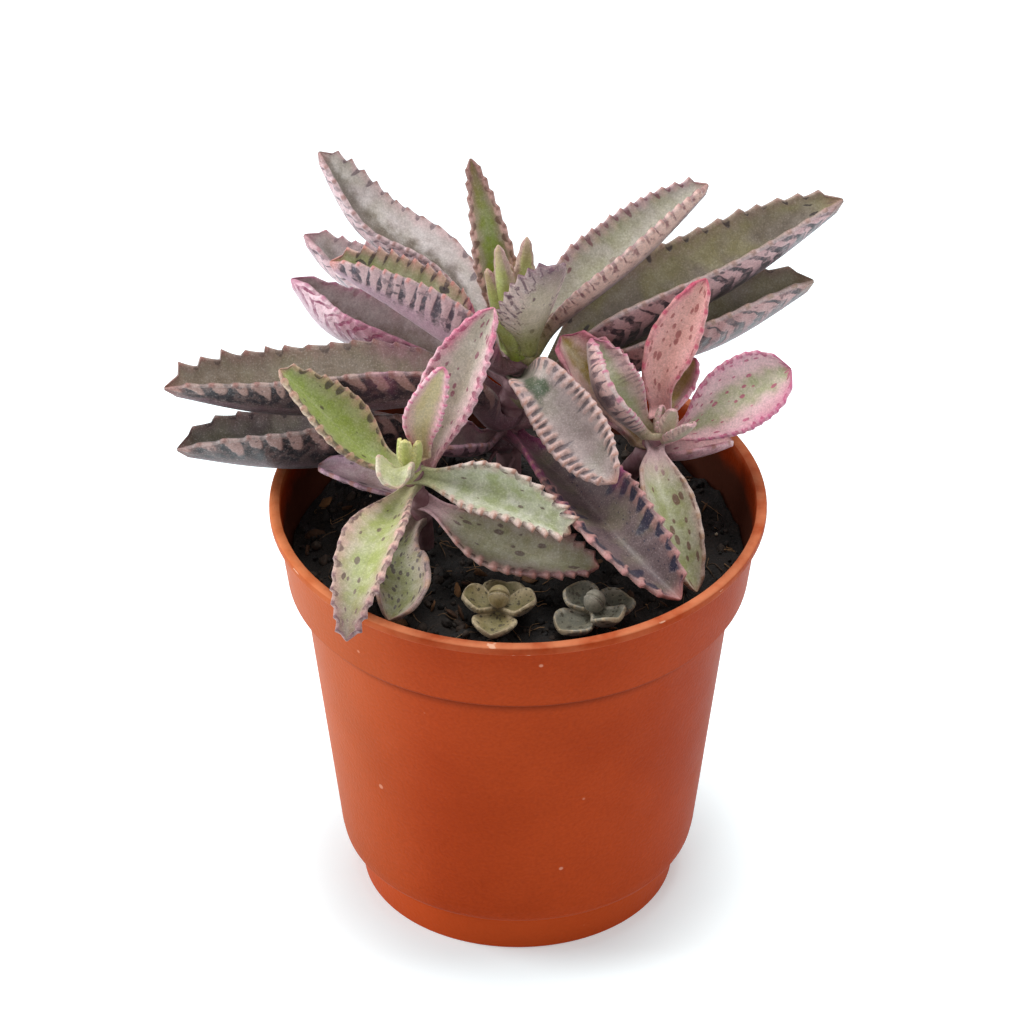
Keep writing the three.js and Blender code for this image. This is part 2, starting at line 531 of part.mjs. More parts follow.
// The soil fills the pot, and each stem stands in a plain hole in it
function makeSoil() {
  const edge = COLLAR_FOOT_RADIUS - WALL - GAP + 0.2;
  const rings = [edge, ...SOIL_RINGS].map((r) => [r, SOIL_LEVEL]);
  const body = latheAboutZ([[0, FLOOR + GAP], ...potInside(GAP), ...rings, [0, SOIL_LEVEL]], SOIL_SIDES);
  const { position } = body.attributes;
  for (let i = 0; i < position.count; i += 1) {
    const [x, y, z] = [position.getX(i), position.getY(i), position.getZ(i)];
    if (z > SOIL_LEVEL - 0.01) position.setZ(i, soilHeight(x, y));
  }
  const stands = [
    ...Object.values(STEMS).map(({ points, radii }) => ({ at: points[0], radius: radii[0] })),
    ...PLANTLETS.map(({ at }) => ({ at, radius: PLANTLET_STEM_RADIUS })),
  ];
  let solid = toSolid(body);
  for (const { at, radius } of stands) {
    const hole = new THREE.CylinderGeometry(radius + GAP, radius + GAP, 2 * HOLE_DEPTH, STEM_SIDES);
    hole.rotateX(Math.PI / 2);
    hole.rotateZ(Math.PI / 2);
    hole.translate(at[0], at[1], SOIL_LEVEL);
    solid = solid.subtract(toSolid(hole));
  }
  return makeMesh('soil', toGeometry(solid), COLOURS.soil, 0.95);
}

const plant = new THREE.Group();
plant.add(makePot(), makeSoil());
Object.keys(STEMS).forEach((key) => plant.add(makeStem(key)));
LEAVES.forEach((leaf) => plant.add(makeLeaf(leaf)));
PLANTLETS.forEach((plantlet) => plant.add(makePlantlet(plantlet)));

export default plant;
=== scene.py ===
# %% [markdown]
# A potted pink butterflies kalanchoe: three plants and two plantlets in a stepped plastic pot.
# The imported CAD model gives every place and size. This script makes finer pieces in the same places,
# gives each one its finish, and sets up the camera, the lights and the floor.

# %% Load the frame
import math

import bmesh
import bpy
import numpy as np
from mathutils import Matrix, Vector
from mathutils import noise as rough_noise


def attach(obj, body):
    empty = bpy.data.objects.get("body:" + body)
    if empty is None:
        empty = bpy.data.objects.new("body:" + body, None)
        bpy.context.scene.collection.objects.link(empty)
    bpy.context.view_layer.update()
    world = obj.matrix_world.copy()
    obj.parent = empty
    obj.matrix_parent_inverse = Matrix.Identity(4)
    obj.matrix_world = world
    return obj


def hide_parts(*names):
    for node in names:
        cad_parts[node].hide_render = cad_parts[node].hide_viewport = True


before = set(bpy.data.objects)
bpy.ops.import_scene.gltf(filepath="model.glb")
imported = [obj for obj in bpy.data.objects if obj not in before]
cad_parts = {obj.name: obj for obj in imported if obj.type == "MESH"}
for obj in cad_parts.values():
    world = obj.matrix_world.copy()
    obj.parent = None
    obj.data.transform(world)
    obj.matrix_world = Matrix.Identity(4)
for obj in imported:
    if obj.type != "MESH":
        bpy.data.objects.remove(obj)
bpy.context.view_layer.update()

MM = 0.001
scene = bpy.context.scene


def add_object(name, data):
    """A new object in the scene."""
    made = bpy.data.objects.new(name, data)
    scene.collection.objects.link(made)
    return made


# %% [markdown]
# The photo was taken with a long lens from a little above, so the pot's sides stay nearly parallel.
# The camera's height and distance were worked out from the ellipses of the pot's lip, step and foot.

# %% Camera
CAMERA_ELEVATION = math.radians(35.84)
CAMERA_TARGET = Vector((-1.27, 0, 90.8)) * MM
CAMERA_DISTANCE = 2362 * MM
CAMERA_LENS = 393.7
CAMERA_SENSOR = 36

camera_data = bpy.data.cameras.new("camera")
camera_data.lens = CAMERA_LENS
camera_data.sensor_width = CAMERA_SENSOR
camera = add_object("camera", camera_data)
toward_camera = Vector((0, -math.cos(CAMERA_ELEVATION), math.sin(CAMERA_ELEVATION)))
camera.location = CAMERA_TARGET + CAMERA_DISTANCE * toward_camera
camera.rotation_euler = (math.pi / 2 - CAMERA_ELEVATION, 0, 0)
scene.camera = camera
print("camera at", camera.location)

# %% [markdown]
# Shader maths reads best as plain sums. One small class wraps a node's output, so that a sum on it adds
# the Math nodes, and one method makes any other node from its type, its settings and its inputs.


# %% Sums that make shader nodes
class Value:
    """One output of a shader node. A sum on it adds Math nodes."""

    def __init__(self, finish, socket):
        self.finish = finish
        self.socket = socket

    def other(self, output):
        return Value(self.finish, self.socket.node.outputs[output])

    def __add__(self, number):
        return self.finish.maths("ADD", self, number)

    def __sub__(self, number):
        return self.finish.maths("SUBTRACT", self, number)

    def __rsub__(self, number):
        return self.finish.maths("SUBTRACT", number, self)

    def __mul__(self, number):
        return self.finish.maths("MULTIPLY", self, number)

    def __truediv__(self, number):
        return self.finish.maths("DIVIDE", self, number)

    def __pow__(self, number):
        return self.finish.maths("POWER", self, number)

    def __abs__(self):
        return self.finish.maths("ABSOLUTE", self)

    __radd__ = __add__
    __rmul__ = __mul__


class Finish:
    """A material and the nodes that it is made of."""

    def __init__(self, name):
        self.material = bpy.data.materials.new(name)
        self.material.use_nodes = True
        self.tree = self.material.node_tree
        self.tree.nodes.clear()

    def node(self, kind, settings=(), inputs=(), output=0):
        node = self.tree.nodes.new("ShaderNode" + kind)
        for key, setting in dict(settings).items():
            setattr(node, key, setting)
        for key, given in dict(inputs).items():
            if isinstance(given, Value):
                self.tree.links.new(given.socket, node.inputs[key])
            else:
                node.inputs[key].default_value = given
        return Value(self, node.outputs[output]) if node.outputs else None

    def maths(self, operation, *numbers):
        return self.node("Math", {"operation": operation}, enumerate(numbers))

    def fade(self, number, start, end):
        """0 where the number is at start, 1 where it is at end, and smooth between them."""
        smooth = {"interpolation_type": "SMOOTHSTEP"}
        return self.node("MapRange", smooth, {0: number, 1: start, 2: end})

    def blend(self, share, first, second, kind="MIX"):
        settings = {"data_type": "RGBA", "blend_type": kind}
        return self.node("Mix", settings, {0: share, 6: first, 7: second}, 2)

    def parts(self, vector):
        """The x of a vector. Its y and z are the outputs 1 and 2 of the same node."""
        return self.node("SeparateXYZ", {}, {0: vector})

    def noise(self, where, scale, detail=2.0):
        return self.node("TexNoise", {}, {"Vector": where, "Scale": scale, "Detail": detail})

    def sided(self, value, across):
        """A value that may differ on the two sides of a leaf."""
        if not isinstance(value, tuple):
            return value
        return value[0] + (value[1] - value[0]) * self.fade(across, -0.02, 0.02)

    def tooth_lot(self, tooth, across):
        """A number between 0 and 1 for each tooth, different on both sides of a leaf."""
        where = self.node("CombineXYZ", {}, {0: tooth, 1: self.maths("SIGN", across)})
        return self.node("TexWhiteNoise", {"noise_dimensions": "3D"}, {"Vector": where})

    def kept(self, name, output=1):
        """A value that each point of the piece keeps under a name."""
        return self.node("Attribute", {"attribute_name": name}, {}, output)

    def place(self):
        """The point of the piece in metres."""
        return self.node("TexCoord", {}, {}, 3)

    def shaded(self, colour, roughness, height, depth_mm, **constants):
        bump = self.node("Bump", {}, {"Strength": 1.0, "Distance": depth_mm * MM, "Height": height})
        inputs = {"Base Color": colour, "Roughness": roughness, "Normal": bump}
        for key, number in constants.items():
            inputs[key.replace("_", " ")] = number
        self.node("OutputMaterial", {}, {0: self.node("BsdfPrincipled", {}, inputs)})
        return self.material


def tone(code):
    """A colour for a shader from six hex digits as seen on a screen."""
    parts = [int(code[i : i + 2], 16) / 255 for i in (0, 2, 4)]
    linear = [p / 12.92 if p <= 0.04045 else ((p + 0.055) / 1.055) ** 2.4 for p in parts]
    return (*linear, 1.0)


# %% [markdown]
# Each piece is made as rows of points in millimetres and turned into a mesh once. A list of such shapes
# makes one object, and the numbers kept at each point let the finish know where on a leaf it is.


# %% Shapes to objects
class Shape:
    """Points in mm, faces, and for each point its place on the leaf and its count of teeth."""

    def __init__(self, points, faces, place=None, tooth=None):
        self.points = np.asarray(points, float)
        self.faces = faces
        count = len(self.points)
        self.place = np.zeros((count, 3)) if place is None else place
        self.tooth = np.zeros(count) if tooth is None else tooth


def ring_faces(rows, columns, start=0, flip=False):
    """Quads between closed rings of points."""
    i, j = np.meshgrid(np.arange(rows - 1), np.arange(columns), indexing="ij")
    k = (j + 1) % columns
    a, b = start + i * columns + j, start + i * columns + k
    quads = np.stack([a, b, b + columns, a + columns], axis=-1).reshape(-1, 4)
    return (quads[:, ::-1] if flip else quads).tolist()


def closed_faces(rows, columns, start=0, flip=False):
    """Quads between closed rings of points, and a cap on the first ring and on the last."""
    order = -1 if flip else 1
    first = list(range(start, start + columns))[::-order]
    last = list(range(start + (rows - 1) * columns, start + rows * columns))[::order]
    return ring_faces(rows, columns, start, flip) + [first, last]


def level_ring(radius, height, sides):
    """A level circle of points round the axis."""
    turn = np.linspace(0, 2 * np.pi, sides, endpoint=False)
    return np.stack([radius * np.cos(turn), radius * np.sin(turn), np.full(sides, height)], -1)


def make_piece(name, shapes, material, nodes):
    """One object from a list of shapes. It rides on the plant, and it stands for the named CAD nodes."""
    points, faces, place, tooth = [], [], [], []
    start = 0
    for shape in shapes:
        points.append(shape.points)
        place.append(shape.place)
        tooth.append(shape.tooth)
        faces.extend([[start + v for v in face] for face in shape.faces])
        start += len(shape.points)
    mesh = bpy.data.meshes.new(name)
    mesh.from_pydata((np.vstack(points) * MM).tolist(), [], faces)
    kept_place = mesh.attributes.new("place", "FLOAT_VECTOR", "POINT")
    kept_place.data.foreach_set("vector", np.vstack(place).ravel())
    kept_tooth = mesh.attributes.new("tooth", "FLOAT", "POINT")
    kept_tooth.data.foreach_set("value", np.concatenate(tooth))
    mesh.shade_smooth()
    mesh.materials.append(material)
    piece = add_object(name, mesh)
    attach(piece, "root")
    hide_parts(*nodes)
    return piece


# %% [markdown]
# A leaf grows along a smooth curve. Reading the curve by shares of its length keeps the teeth evenly
# spaced, whatever the bend, so the curve is sampled finely and its length is summed.


# %% Smooth curves
def smooth_step(x, start, end):
    t = np.clip((x - start) / (end - start), 0, 1)
    return t * t * (3 - 2 * t)


class Spine:
    """A smooth curve through points, read at shares of its length."""

    def __init__(self, points):
        p = np.array(points, float)
        p = np.vstack([2 * p[0] - p[1], p, 2 * p[-1] - p[-2]])
        t = np.linspace(0, 1, 80, endpoint=False)[:, None]
        parts = []
        for before, start, end, after in zip(p, p[1:], p[2:], p[3:]):
            leave, arrive = (end - before) / 2, (after - start) / 2
            cubic = 2 * start - 2 * end + leave + arrive
            square = -3 * start + 3 * end - 2 * leave - arrive
            parts.append(cubic * t**3 + square * t**2 + leave * t + start)
        self.points = np.vstack([*parts, p[-2:-1]])
        steps = np.linalg.norm(np.diff(self.points, axis=0), axis=1)
        self.run = np.concatenate([[0], np.cumsum(steps)])
        self.length = self.run[-1]

    def at(self, shares):
        where = np.asarray(shares) * self.length
        return np.stack([np.interp(where, self.run, self.points[:, i]) for i in range(3)], axis=-1)

    def along(self, shares):
        ahead = self.at(np.minimum(shares + 0.01, 1)) - self.at(np.maximum(shares - 0.01, 0))
        return ahead / np.linalg.norm(ahead, axis=-1, keepdims=True)


# %% [markdown]
# The three stems stand in the soil, and each leaf starts beside its stem. The values are those of the CAD
# model, so that every fine leaf lies where its solid does. A row gives a leaf's height on its stem, the
# points of its midrib, its numbers in the order of LEAF_NUMBERS, and then what sets it apart: its teeth,
# how far each side's teeth stand out, and how blunt it is.

# %% Stems and leaves, as in the CAD model
STEMS = {
    "main": dict(
        points=[(-2, 25, 73.5), (-2, 25, 82), (-1.8, 24.4, 95), (-0.8, 21.8, 107), (0, 20, 117.5)],
        radii=[2.7, 2.7, 2.6, 2.4, 1.9],
    ),
    "left": dict(
        points=[(-20, -1, 73.5), (-20, -1, 82), (-20.4, -2.6, 92), (-21.6, -5.6, 101),
                (-22.6, -8, 109.5)],
        radii=[2.4, 2.4, 2.2, 2, 1.8],
    ),
    "right": dict(
        points=[(20, 15, 73.5), (20, 15, 82), (23, 13, 91), (27.6, 10, 100), (30.4, 7.6, 106.5)],
        radii=[2.4, 2.4, 2.3, 2.1, 1.8],
    ),
}
LEAF_NUMBERS = ("half", "roll", "fold", "cup", "twist", "widest", "neck")


def leaf_of(name, height, points, numbers, **others):
    """A leaf's values. The first word of its name is the stem that it grows from."""
    start = dict(name=name, stem=name.split("_")[0], height=height, points=points)
    return {**start, **dict(zip(LEAF_NUMBERS, numbers)), **others}


LEAVES = [
    leaf_of("main_leaf_left_high", 112.5,
            [(-16, 36, 126.5), (-32, 41.5, 135.5), (-42, 47.5, 150.5)],
            (10.5, 22, 14, 28, -12, 0.5, 2), teeth=13, bite=(0.6, 0.35)),
    leaf_of("main_leaf_left_second", 109,
            [(-20, 49.5, 106.5), (-37.5, 51, 116.5), (-45.5, 53, 125.5)],
            (9.5, 22, 20, 35, 0, 0.6, 1.6), teeth=12, bite=(0.8, 0.35)),
    leaf_of("main_leaf_left_third", 104.5, [(-17, 27.5, 110.5), (-38, 33, 115), (-48, 38, 124.5)],
            (10.5, 3, 32, 40, 30, 0.6, 1.5), bite=(0.3, 0.3), blunt=2),
    leaf_of("main_leaf_left_inner", 115, [(-12, 15, 124), (-24, 18.5, 131), (-39.5, 22.5, 139.5)],
            (10, 16, 42, 36, -30, 0.45, 1.8), teeth=13, bite=(0.9, 0.55)),
    leaf_of("main_leaf_left_long", 99.5,
            [(-14, 13.5, 111.5), (-48.5, 15, 108), (-74.5, 10.5, 115.5)],
            (12.5, 9, 44, 26, -20, 0.47, 2.4), bite=(0.8, 0.35), grow=0.7),
    leaf_of("main_leaf_left_low", 92.5, [(-18.5, 19.5, 96), (-46.5, 11, 97), (-72, 8, 101.5)],
            (13.2, 26, 25, 35, -34, 0.52, 1.6), bite=(0.45, 0.35), grow=0.7),
    leaf_of("main_leaf_left_small", 96.5, [(-9, 17.5, 95.5), (-18.5, 8.5, 101)],
            (6, -22, 36, 46, 0, 0.56, 1.2), bite=0.6),
    leaf_of("main_leaf_upright", 117.5, [(-4, 25, 131), (-6.5, 27.5, 145), (-10, 33, 158.5)],
            (4.8, -8, 20, 36, 0, 0.5, 1.5), facing=105, teeth=10, bite=0.75, grow=-0.1, blunt=1.15,
            tip_round=1.3),
    leaf_of("main_leaf_crown_front", 119.5, [(2.5, 17.5, 125), (3.6, 15, 133.5), (8.2, 13.5, 145)],
            (7, -5, 8, 26, 4, 0.5, 1.5), facing=-55, teeth=10, bite=(1.6, 0.3), blunt=3,
            lobes=0.12),
    leaf_of("main_leaf_right_high", 116, [(8, 26.5, 122.5), (24.5, 30.5, 136), (40, 37.5, 149)],
            (9.5, -3, 28, 42, 0, 0.42, 1.4), teeth=15, bite=(0.7, 0.6), bump=(0.5, 0)),
    leaf_of("main_leaf_right_long", 105, [(18, 25.5, 116.5), (45, 33, 128.5), (68.5, 37, 145.5)],
            (13, -2, 36, 33, 20, 0.36, 2.4), teeth=14, bite=(0.3, 0.5), grow=0.6),
    leaf_of("main_leaf_right_low", 98.5, [(21.5, 24, 111.5), (42, 28.5, 116.5), (62.5, 33, 127.5)],
            (12, -12, 24, 38, 10, 0.57, 1.6), bite=(0.35, 0.5), grow=0.6),
    leaf_of("main_leaf_front_bent", 113,
            [(3.5, 6, 120.5), (9.5, 0, 116), (15.5, -6.5, 111), (20.5, -13.5, 108)],
            (7.6, 28, 16, 34, 30, 0.62, 2), teeth=17, bite=(0.2, 0.25), bump=(1.6, 1), bump_at=0.8,
            bump_wide=0.2, bare=0.3),
    leaf_of("main_leaf_front_low", 96,
            [(5.5, 10, 97), (15, -6.5, 97.5), (22.5, -20.5, 97), (34, -31.5, 91)],
            (10.5, 9, 24, 38, 12, 0.56, 1.4), teeth=13, bite=(0.35, 0.5), grow=1.2, bump=(1, 0.3)),
    leaf_of("left_leaf_back", 107, [(-32.5, -1, 107.5), (-50, 4.5, 124.5)],
            (7.4, -14, 16, 34, 6, 0.5, 1.6), teeth=9, bite=(0.5, 0.5), blunt=1.6, grow=0.8,
            bump=(0, 0.6)),
    leaf_of("left_leaf_upright", 104.5, [(-15, -0.5, 120), (-5, 5.5, 139.5)],
            (7.5, 12, 22, 38, -20, 0.52, 1.6), facing=65, teeth=11, bite=(0.45, 0.25), blunt=1.8,
            bump=(0.2, 0.2)),
    leaf_of("left_leaf_upright_small", 110, [(-20, -6.5, 120), (-15.5, -7, 133)],
            (4.5, -12, 22, 38, -8, 0.48, 1.3), facing=95, teeth=9, bite=(0.5, 0.1), blunt=1.8),
    leaf_of("left_leaf_right_upper", 106, [(-2.5, -15, 105.5), (11, -22, 101)],
            (7.3, 46, 28, 42, -22, 0.44, 1.8), teeth=10, bite=(0.75, 0.75), blunt=1.7, grow=2.2,
            bump=(0.5, 0)),
    leaf_of("left_leaf_right_lower", 97, [(-5, -14, 93), (17, -22, 92.5)],
            (7, 35, 15, 32, 0, 0.5, 1.6), teeth=11, bite=(0.45, 0.55), blunt=1.9, grow=1.6,
            bump=(0.5, 0)),
    leaf_of("left_leaf_over_rim", 103.5,
            [(-29.5, -29.5, 105), (-33.5, -43, 100.5), (-35.5, -54, 97)],
            (7, 9, 14, 30, 0, 0.48, 1.7), teeth=11, bite=(0.25, 0.45), blunt=1.6, grow=2.4,
            bump=(0, 0.6)),
    leaf_of("left_leaf_front_low", 92, [(-26, -16, 89.5), (-24.5, -26, 88), (-27, -32, 86)],
            (8, 0, 20, 35, 0, 0.55, 1.4), bite=0.12),
    leaf_of("left_leaf_side_small", 98, [(-35, 1, 100), (-42, 6, 99)],
            (3.8, -14, 16, 32, 8, 0.45, 1.5), bite=0.3),
    leaf_of("left_leaf_crown_front", 107, [(-26, -16.5, 114), (-25, -21, 112)],
            (4, -8, 14, 36, 0, 0.6, 1.8), teeth=6, bite=0.1, blunt=3.2, tip_round=0.6),
    leaf_of("right_leaf_upright", 110, [(30, 12, 118), (34.7, 16, 128.5), (39.5, 19, 137.5)],
            (5.5, 2, 14, 32, 0, 0.5, 2.2), facing=80, bite=0.12, blunt=1.7),
    leaf_of("right_leaf_upright_small", 108.5, [(34, 20, 108.5), (37.5, 20.5, 116)],
            (4, 0, 20, 36, 0, 0.5, 1.2), facing=60, bite=0.3),
    leaf_of("right_leaf_outer", 104.5, [(37.5, 9.5, 106.5), (45, 10.5, 112), (57.5, 14, 118)],
            (8.2, 50, 12, 34, -20, 0.6, 1.5), teeth=10, bite=0.16, blunt=2.8),
    leaf_of("right_leaf_outer_low", 98.5, [(36, 10, 99.5), (45.5, 13, 100)],
            (5, 0, 22, 38, 0, 0.5, 1.4), bite=0.2),
    leaf_of("right_leaf_inner_front", 106.5, [(19, 5.5, 116.5), (16.5, 10, 122), (15.5, 13, 126.5)],
            (8, 0, 36, 46, -8, 0.48, 1.6), teeth=11, bite=(0.4, 0.2), bump=(0, 0.9)),
    leaf_of("right_leaf_inner_back", 102, [(19.5, 12, 111), (12, 14, 121), (9, 16, 125)],
            (8, -22, 16, 34, 0, 0.51, 1.5), bite=0.6),
    leaf_of("right_leaf_hanging", 103, [(29.5, -5, 102), (33, -14, 96), (37.5, -22, 86)],
            (6.5, 0, 24, 38, 0, 0.5, 1.6), bite=0.1, blunt=1.8),
]
NECK_END = 0.05
TEETH_START = 0.2
TEETH_END = 0.965
TOOTH_PEAK = 0.68
TOOTH_LEAN = 0.9
BUMP_PHASE = 0.55
BUMP_REACH = 0.84
BUMP_WIDTH = 0.13
FACE_COLUMNS = 23
NECK_GAP = 0.6
NECK_TURN = 0.9
print("leaves:", len(LEAVES))

# %% [markdown]
# A leaf is shaped like a canoe: a fleshy blade folded at the midrib, with both halves cupped upward.
# Its edge carries teeth like a shark's fin, gentle on the base's side and steep on the tip's side. Each
# ring of points is placed at a chosen part of a tooth, so that the notches and points stay sharp.
# On the outside a soft lobe runs down from each tooth.


# %% Leaf blade
def half_width(leaf, share):
    widest = leaf["widest"]
    rise = np.clip((share - NECK_END) / (widest - NECK_END), 0, 1)
    fall = np.clip((share - widest) / (1 - widest), 0, 1)
    closing = (1 - fall ** leaf.get("blunt", 2.5)) ** leaf.get("taper", 0.78)
    full = np.where(share < widest, np.sin(np.pi / 2 * rise) ** 1.25, closing)
    neck = leaf["neck"] * (1 - smooth_step(share, NECK_END, widest + 0.1)) * (1 - full)
    return np.where(share <= NECK_END, leaf["neck"], neck + leaf["half"] * full)


def tooth_profile(phase):
    """How far a tooth stands out: a concave rise to its point, then a steep fall to the next notch."""
    rise = np.clip(phase / TOOTH_PEAK, 0, 1) ** 1.5
    fall = np.clip((1 - phase) / (1 - TOOTH_PEAK), 0, 1) ** 0.9
    return np.where(phase < TOOTH_PEAK, rise, fall)


def section_curve(leaf, reach):
    """Sideways place, rise and lean of the face at a share of the half width, for a half width of 1."""
    fold, cup = math.radians(leaf["fold"]), math.radians(leaf["cup"])
    fine = np.linspace(0, 1, 201)
    lean = fold * np.minimum(fine / 0.16, 1) ** 0.8 + cup * fine
    side = np.concatenate([[0], np.cumsum(np.cos(lean[1:]) / 200)])
    rise = np.concatenate([[0], np.cumsum(np.sin(lean[1:]) / 200)])
    return [np.interp(reach, fine, curve) for curve in (side, rise, lean)]


def ring_layout():
    """Places round a blade: the face from edge to edge, a rounded edge, the back, and the other edge."""
    line = np.linspace(-1, 1, FACE_COLUMNS)
    line = np.sign(line) * np.abs(line) ** 0.85
    arc = np.array([0.2, 0.5, 0.8])
    across = np.concatenate([line, np.ones(3), line[::-1], -np.ones(3)])
    depth = np.concatenate([np.zeros(FACE_COLUMNS), arc, np.ones(FACE_COLUMNS), arc[::-1]])
    return across, depth


TOOTH_PHASES = [0, 0.16, 0.32, 0.46, 0.58, TOOTH_PEAK, 0.77, 0.88]


def two_sides(value):
    """A value for each side of a leaf, first the side with negative places across."""
    return value if isinstance(value, tuple) else (value, value)


def tooth_starts(leaf, spine):
    """Where each tooth begins along a leaf, no two of them equally long, and two sizes for each tooth."""
    pitch = 3.4 + 0.12 * leaf["half"]
    count = leaf.get("teeth") or round(spine.length * (TEETH_END - TEETH_START) / pitch)
    draw = np.random.default_rng(round(1000 * spine.length))
    lengths = draw.uniform(0.8, 1.2, count)
    starts = TEETH_START + (TEETH_END - TEETH_START) * np.append(0, np.cumsum(lengths) / lengths.sum())
    return starts, draw.uniform(0.55, 1.25, (2, count))


def leaf_shape(leaf, spine, root=None):
    """The fine blade of a leaf. root is a point inside the stem that the neck runs into."""
    half = leaf["half"]
    starts, sizes = tooth_starts(leaf, spine)
    count = len(starts) - 1
    neck = np.linspace(0, TEETH_START, max(6, int(spine.length * TEETH_START / 1.2)), endpoint=False)
    toothed = [a + phase * (b - a) for a, b in zip(starts, starts[1:]) for phase in TOOTH_PHASES]
    end = np.array([0, 0.25, 0.5, 0.75, 0.92]) * (1 - TEETH_END) + TEETH_END
    share = np.concatenate([neck, toothed, end])
    past = (share - np.clip(share, TEETH_START, TEETH_END)) * count / (TEETH_END - TEETH_START)
    tooth = np.interp(share, starts, np.arange(count + 1)) + past

    v, deep = ring_layout()
    reach = np.abs(v)
    ending = np.clip((1 - share) / (1 - TEETH_END), 0, 1)
    started = smooth_step(share, TEETH_START - 0.03, TEETH_START + leaf.get("bare", 0.14))
    growth = (0.8 + leaf.get("grow", 0.35) * smooth_step(share, 0.45, 0.95)) * started
    which = np.clip(np.floor(tooth).astype(int), 0, count - 1)
    size = np.where(v[None, :] < 0, sizes[0][which][:, None], sizes[1][which][:, None])
    bite = np.where(v < 0, *two_sides(leaf.get("bite", 1))) * (0.4 + 0.072 * half)
    inside = (share > TEETH_START) & (share < TEETH_END)
    teeth = (tooth_profile(tooth % 1) * growth * inside)[:, None] * size * bite
    width = half_width(leaf, np.minimum(share, TEETH_END))[:, None]
    width = (width + teeth) * (ending ** leaf.get("tip_round", 1))[:, None]

    along = spine.along(share)
    tip, base = spine.at(1), spine.at(0)
    facing = math.atan2(tip[1] - base[1], tip[0] - base[0])
    facing = math.radians(leaf["facing"]) if "facing" in leaf else facing
    flat = np.array([-math.sin(facing), math.cos(facing), 0])
    across = flat - along * (along @ flat)[:, None]
    across /= np.linalg.norm(across, axis=1, keepdims=True)
    up = np.cross(along, across)
    turn = np.radians(leaf["roll"] + leaf["twist"] * (share - 0.5))[:, None]
    across, up = across * np.cos(turn) + up * np.sin(turn), up * np.cos(turn) - across * np.sin(turn)

    side, rise, lean = section_curve(leaf, reach)
    middle = (1.1 + 0.12 * half) * (1 - 0.45 * share**3) * (0.35 + 0.65 * ending)
    rim = 0.75 * (0.4 + 0.6 * ending)
    thick = rim[:, None] + (middle - rim)[:, None] * (1 - reach**1.6)
    wave = tooth[:, None] + leaf.get("slant", 1.2) * (1 - reach)
    lobes = (0.5 - 0.5 * np.cos(2 * np.pi * wave)) * smooth_step(reach, 0.35, 0.85) * ending[:, None]
    thick = thick + leaf.get("lobes", 0.3) * lobes * started[:, None] * (deep > 0)
    frill = leaf.get("frill", 0.12) * (0.5 - 0.5 * np.cos(2 * np.pi * tooth))[:, None]
    frill = frill * smooth_step(reach, 0.55, 0.9) * ending[:, None] * started[:, None]
    crest = np.exp(-(((tooth % 1 - BUMP_PHASE) / 0.24) ** 2))[:, None] * (ending * started)[:, None]
    bump = np.where(v < 0, *two_sides(leaf.get("bump", 0))) * crest * size
    from_bump = (reach - leaf.get("bump_at", BUMP_REACH)) / leaf.get("bump_wide", BUMP_WIDTH)
    bump = bump * np.exp(-(from_bump**2)) * (1 - deep)
    down = thick * deep - frill - bump
    bulge = 0.35 * rim[:, None] * np.sin(np.pi * deep) * (reach > 0.999)

    sideways = width * side + down * np.sin(lean) + bulge * np.cos(lean)
    raised = width * rise - down * np.cos(np.where(reach > 0, lean, 0)) + bulge * np.sin(lean)
    forward = reach**3 * teeth * TOOTH_LEAN
    points = spine.at(share)[:, None, :] + across[:, None, :] * (np.sign(v) * sideways)[..., None]
    points = points + up[:, None, :] * raised[..., None] + along[:, None, :] * forward[..., None]

    place = np.stack(np.broadcast_arrays(share[:, None], v, np.clip(deep, 0, 1)), axis=-1)
    tooth = np.broadcast_to(tooth[:, None], points.shape[:2])
    if root is not None:
        toward = np.asarray(root) - base
        grown = [points[0] + toward * k + (points[0] - points[0].mean(0)) * 0.25 * k for k in (1.0, 0.5)]
        points = np.concatenate([grown, points])
        place = np.concatenate([place[:1], place[:1], place])
        tooth = np.concatenate([tooth[:1], tooth[:1], tooth])
    rows, columns = points.shape[:2]
    faces = ring_faces(rows, columns, flip=True)
    faces.append(list(range(columns)))
    last = rows * columns
    faces += [[last - columns + (j + 1) % columns, last - columns + j, last] for j in range(columns)]
    points = np.vstack([points.reshape(-1, 3), tip])
    place = np.vstack([place.reshape(-1, 3), [1, 0, 0.5]])
    tooth = np.append(tooth.reshape(-1), count)
    return Shape(points, faces, place, tooth)


def stem_at(stem, height):
    points = np.array(stem["points"], float)
    centre = [np.interp(height, points[:, 2], points[:, i]) for i in range(2)]
    return np.array([*centre, height]), np.interp(height, points[:, 2], stem["radii"])


def leaf_spine(leaf):
    """The curve of a leaf's midrib from its seat beside the stem, and the middle of the stem there."""
    centre, radius = stem_at(STEMS[leaf["stem"]], leaf["height"])
    toward = np.array(leaf["points"][0], float) - centre
    toward /= np.linalg.norm(toward)
    gap = NECK_GAP + NECK_TURN * abs(toward[2])
    level = np.array([toward[0], toward[1], 0])
    level /= np.linalg.norm(level)
    seat = centre + level * (radius + gap)
    return Spine([seat, *leaf["points"]]), centre
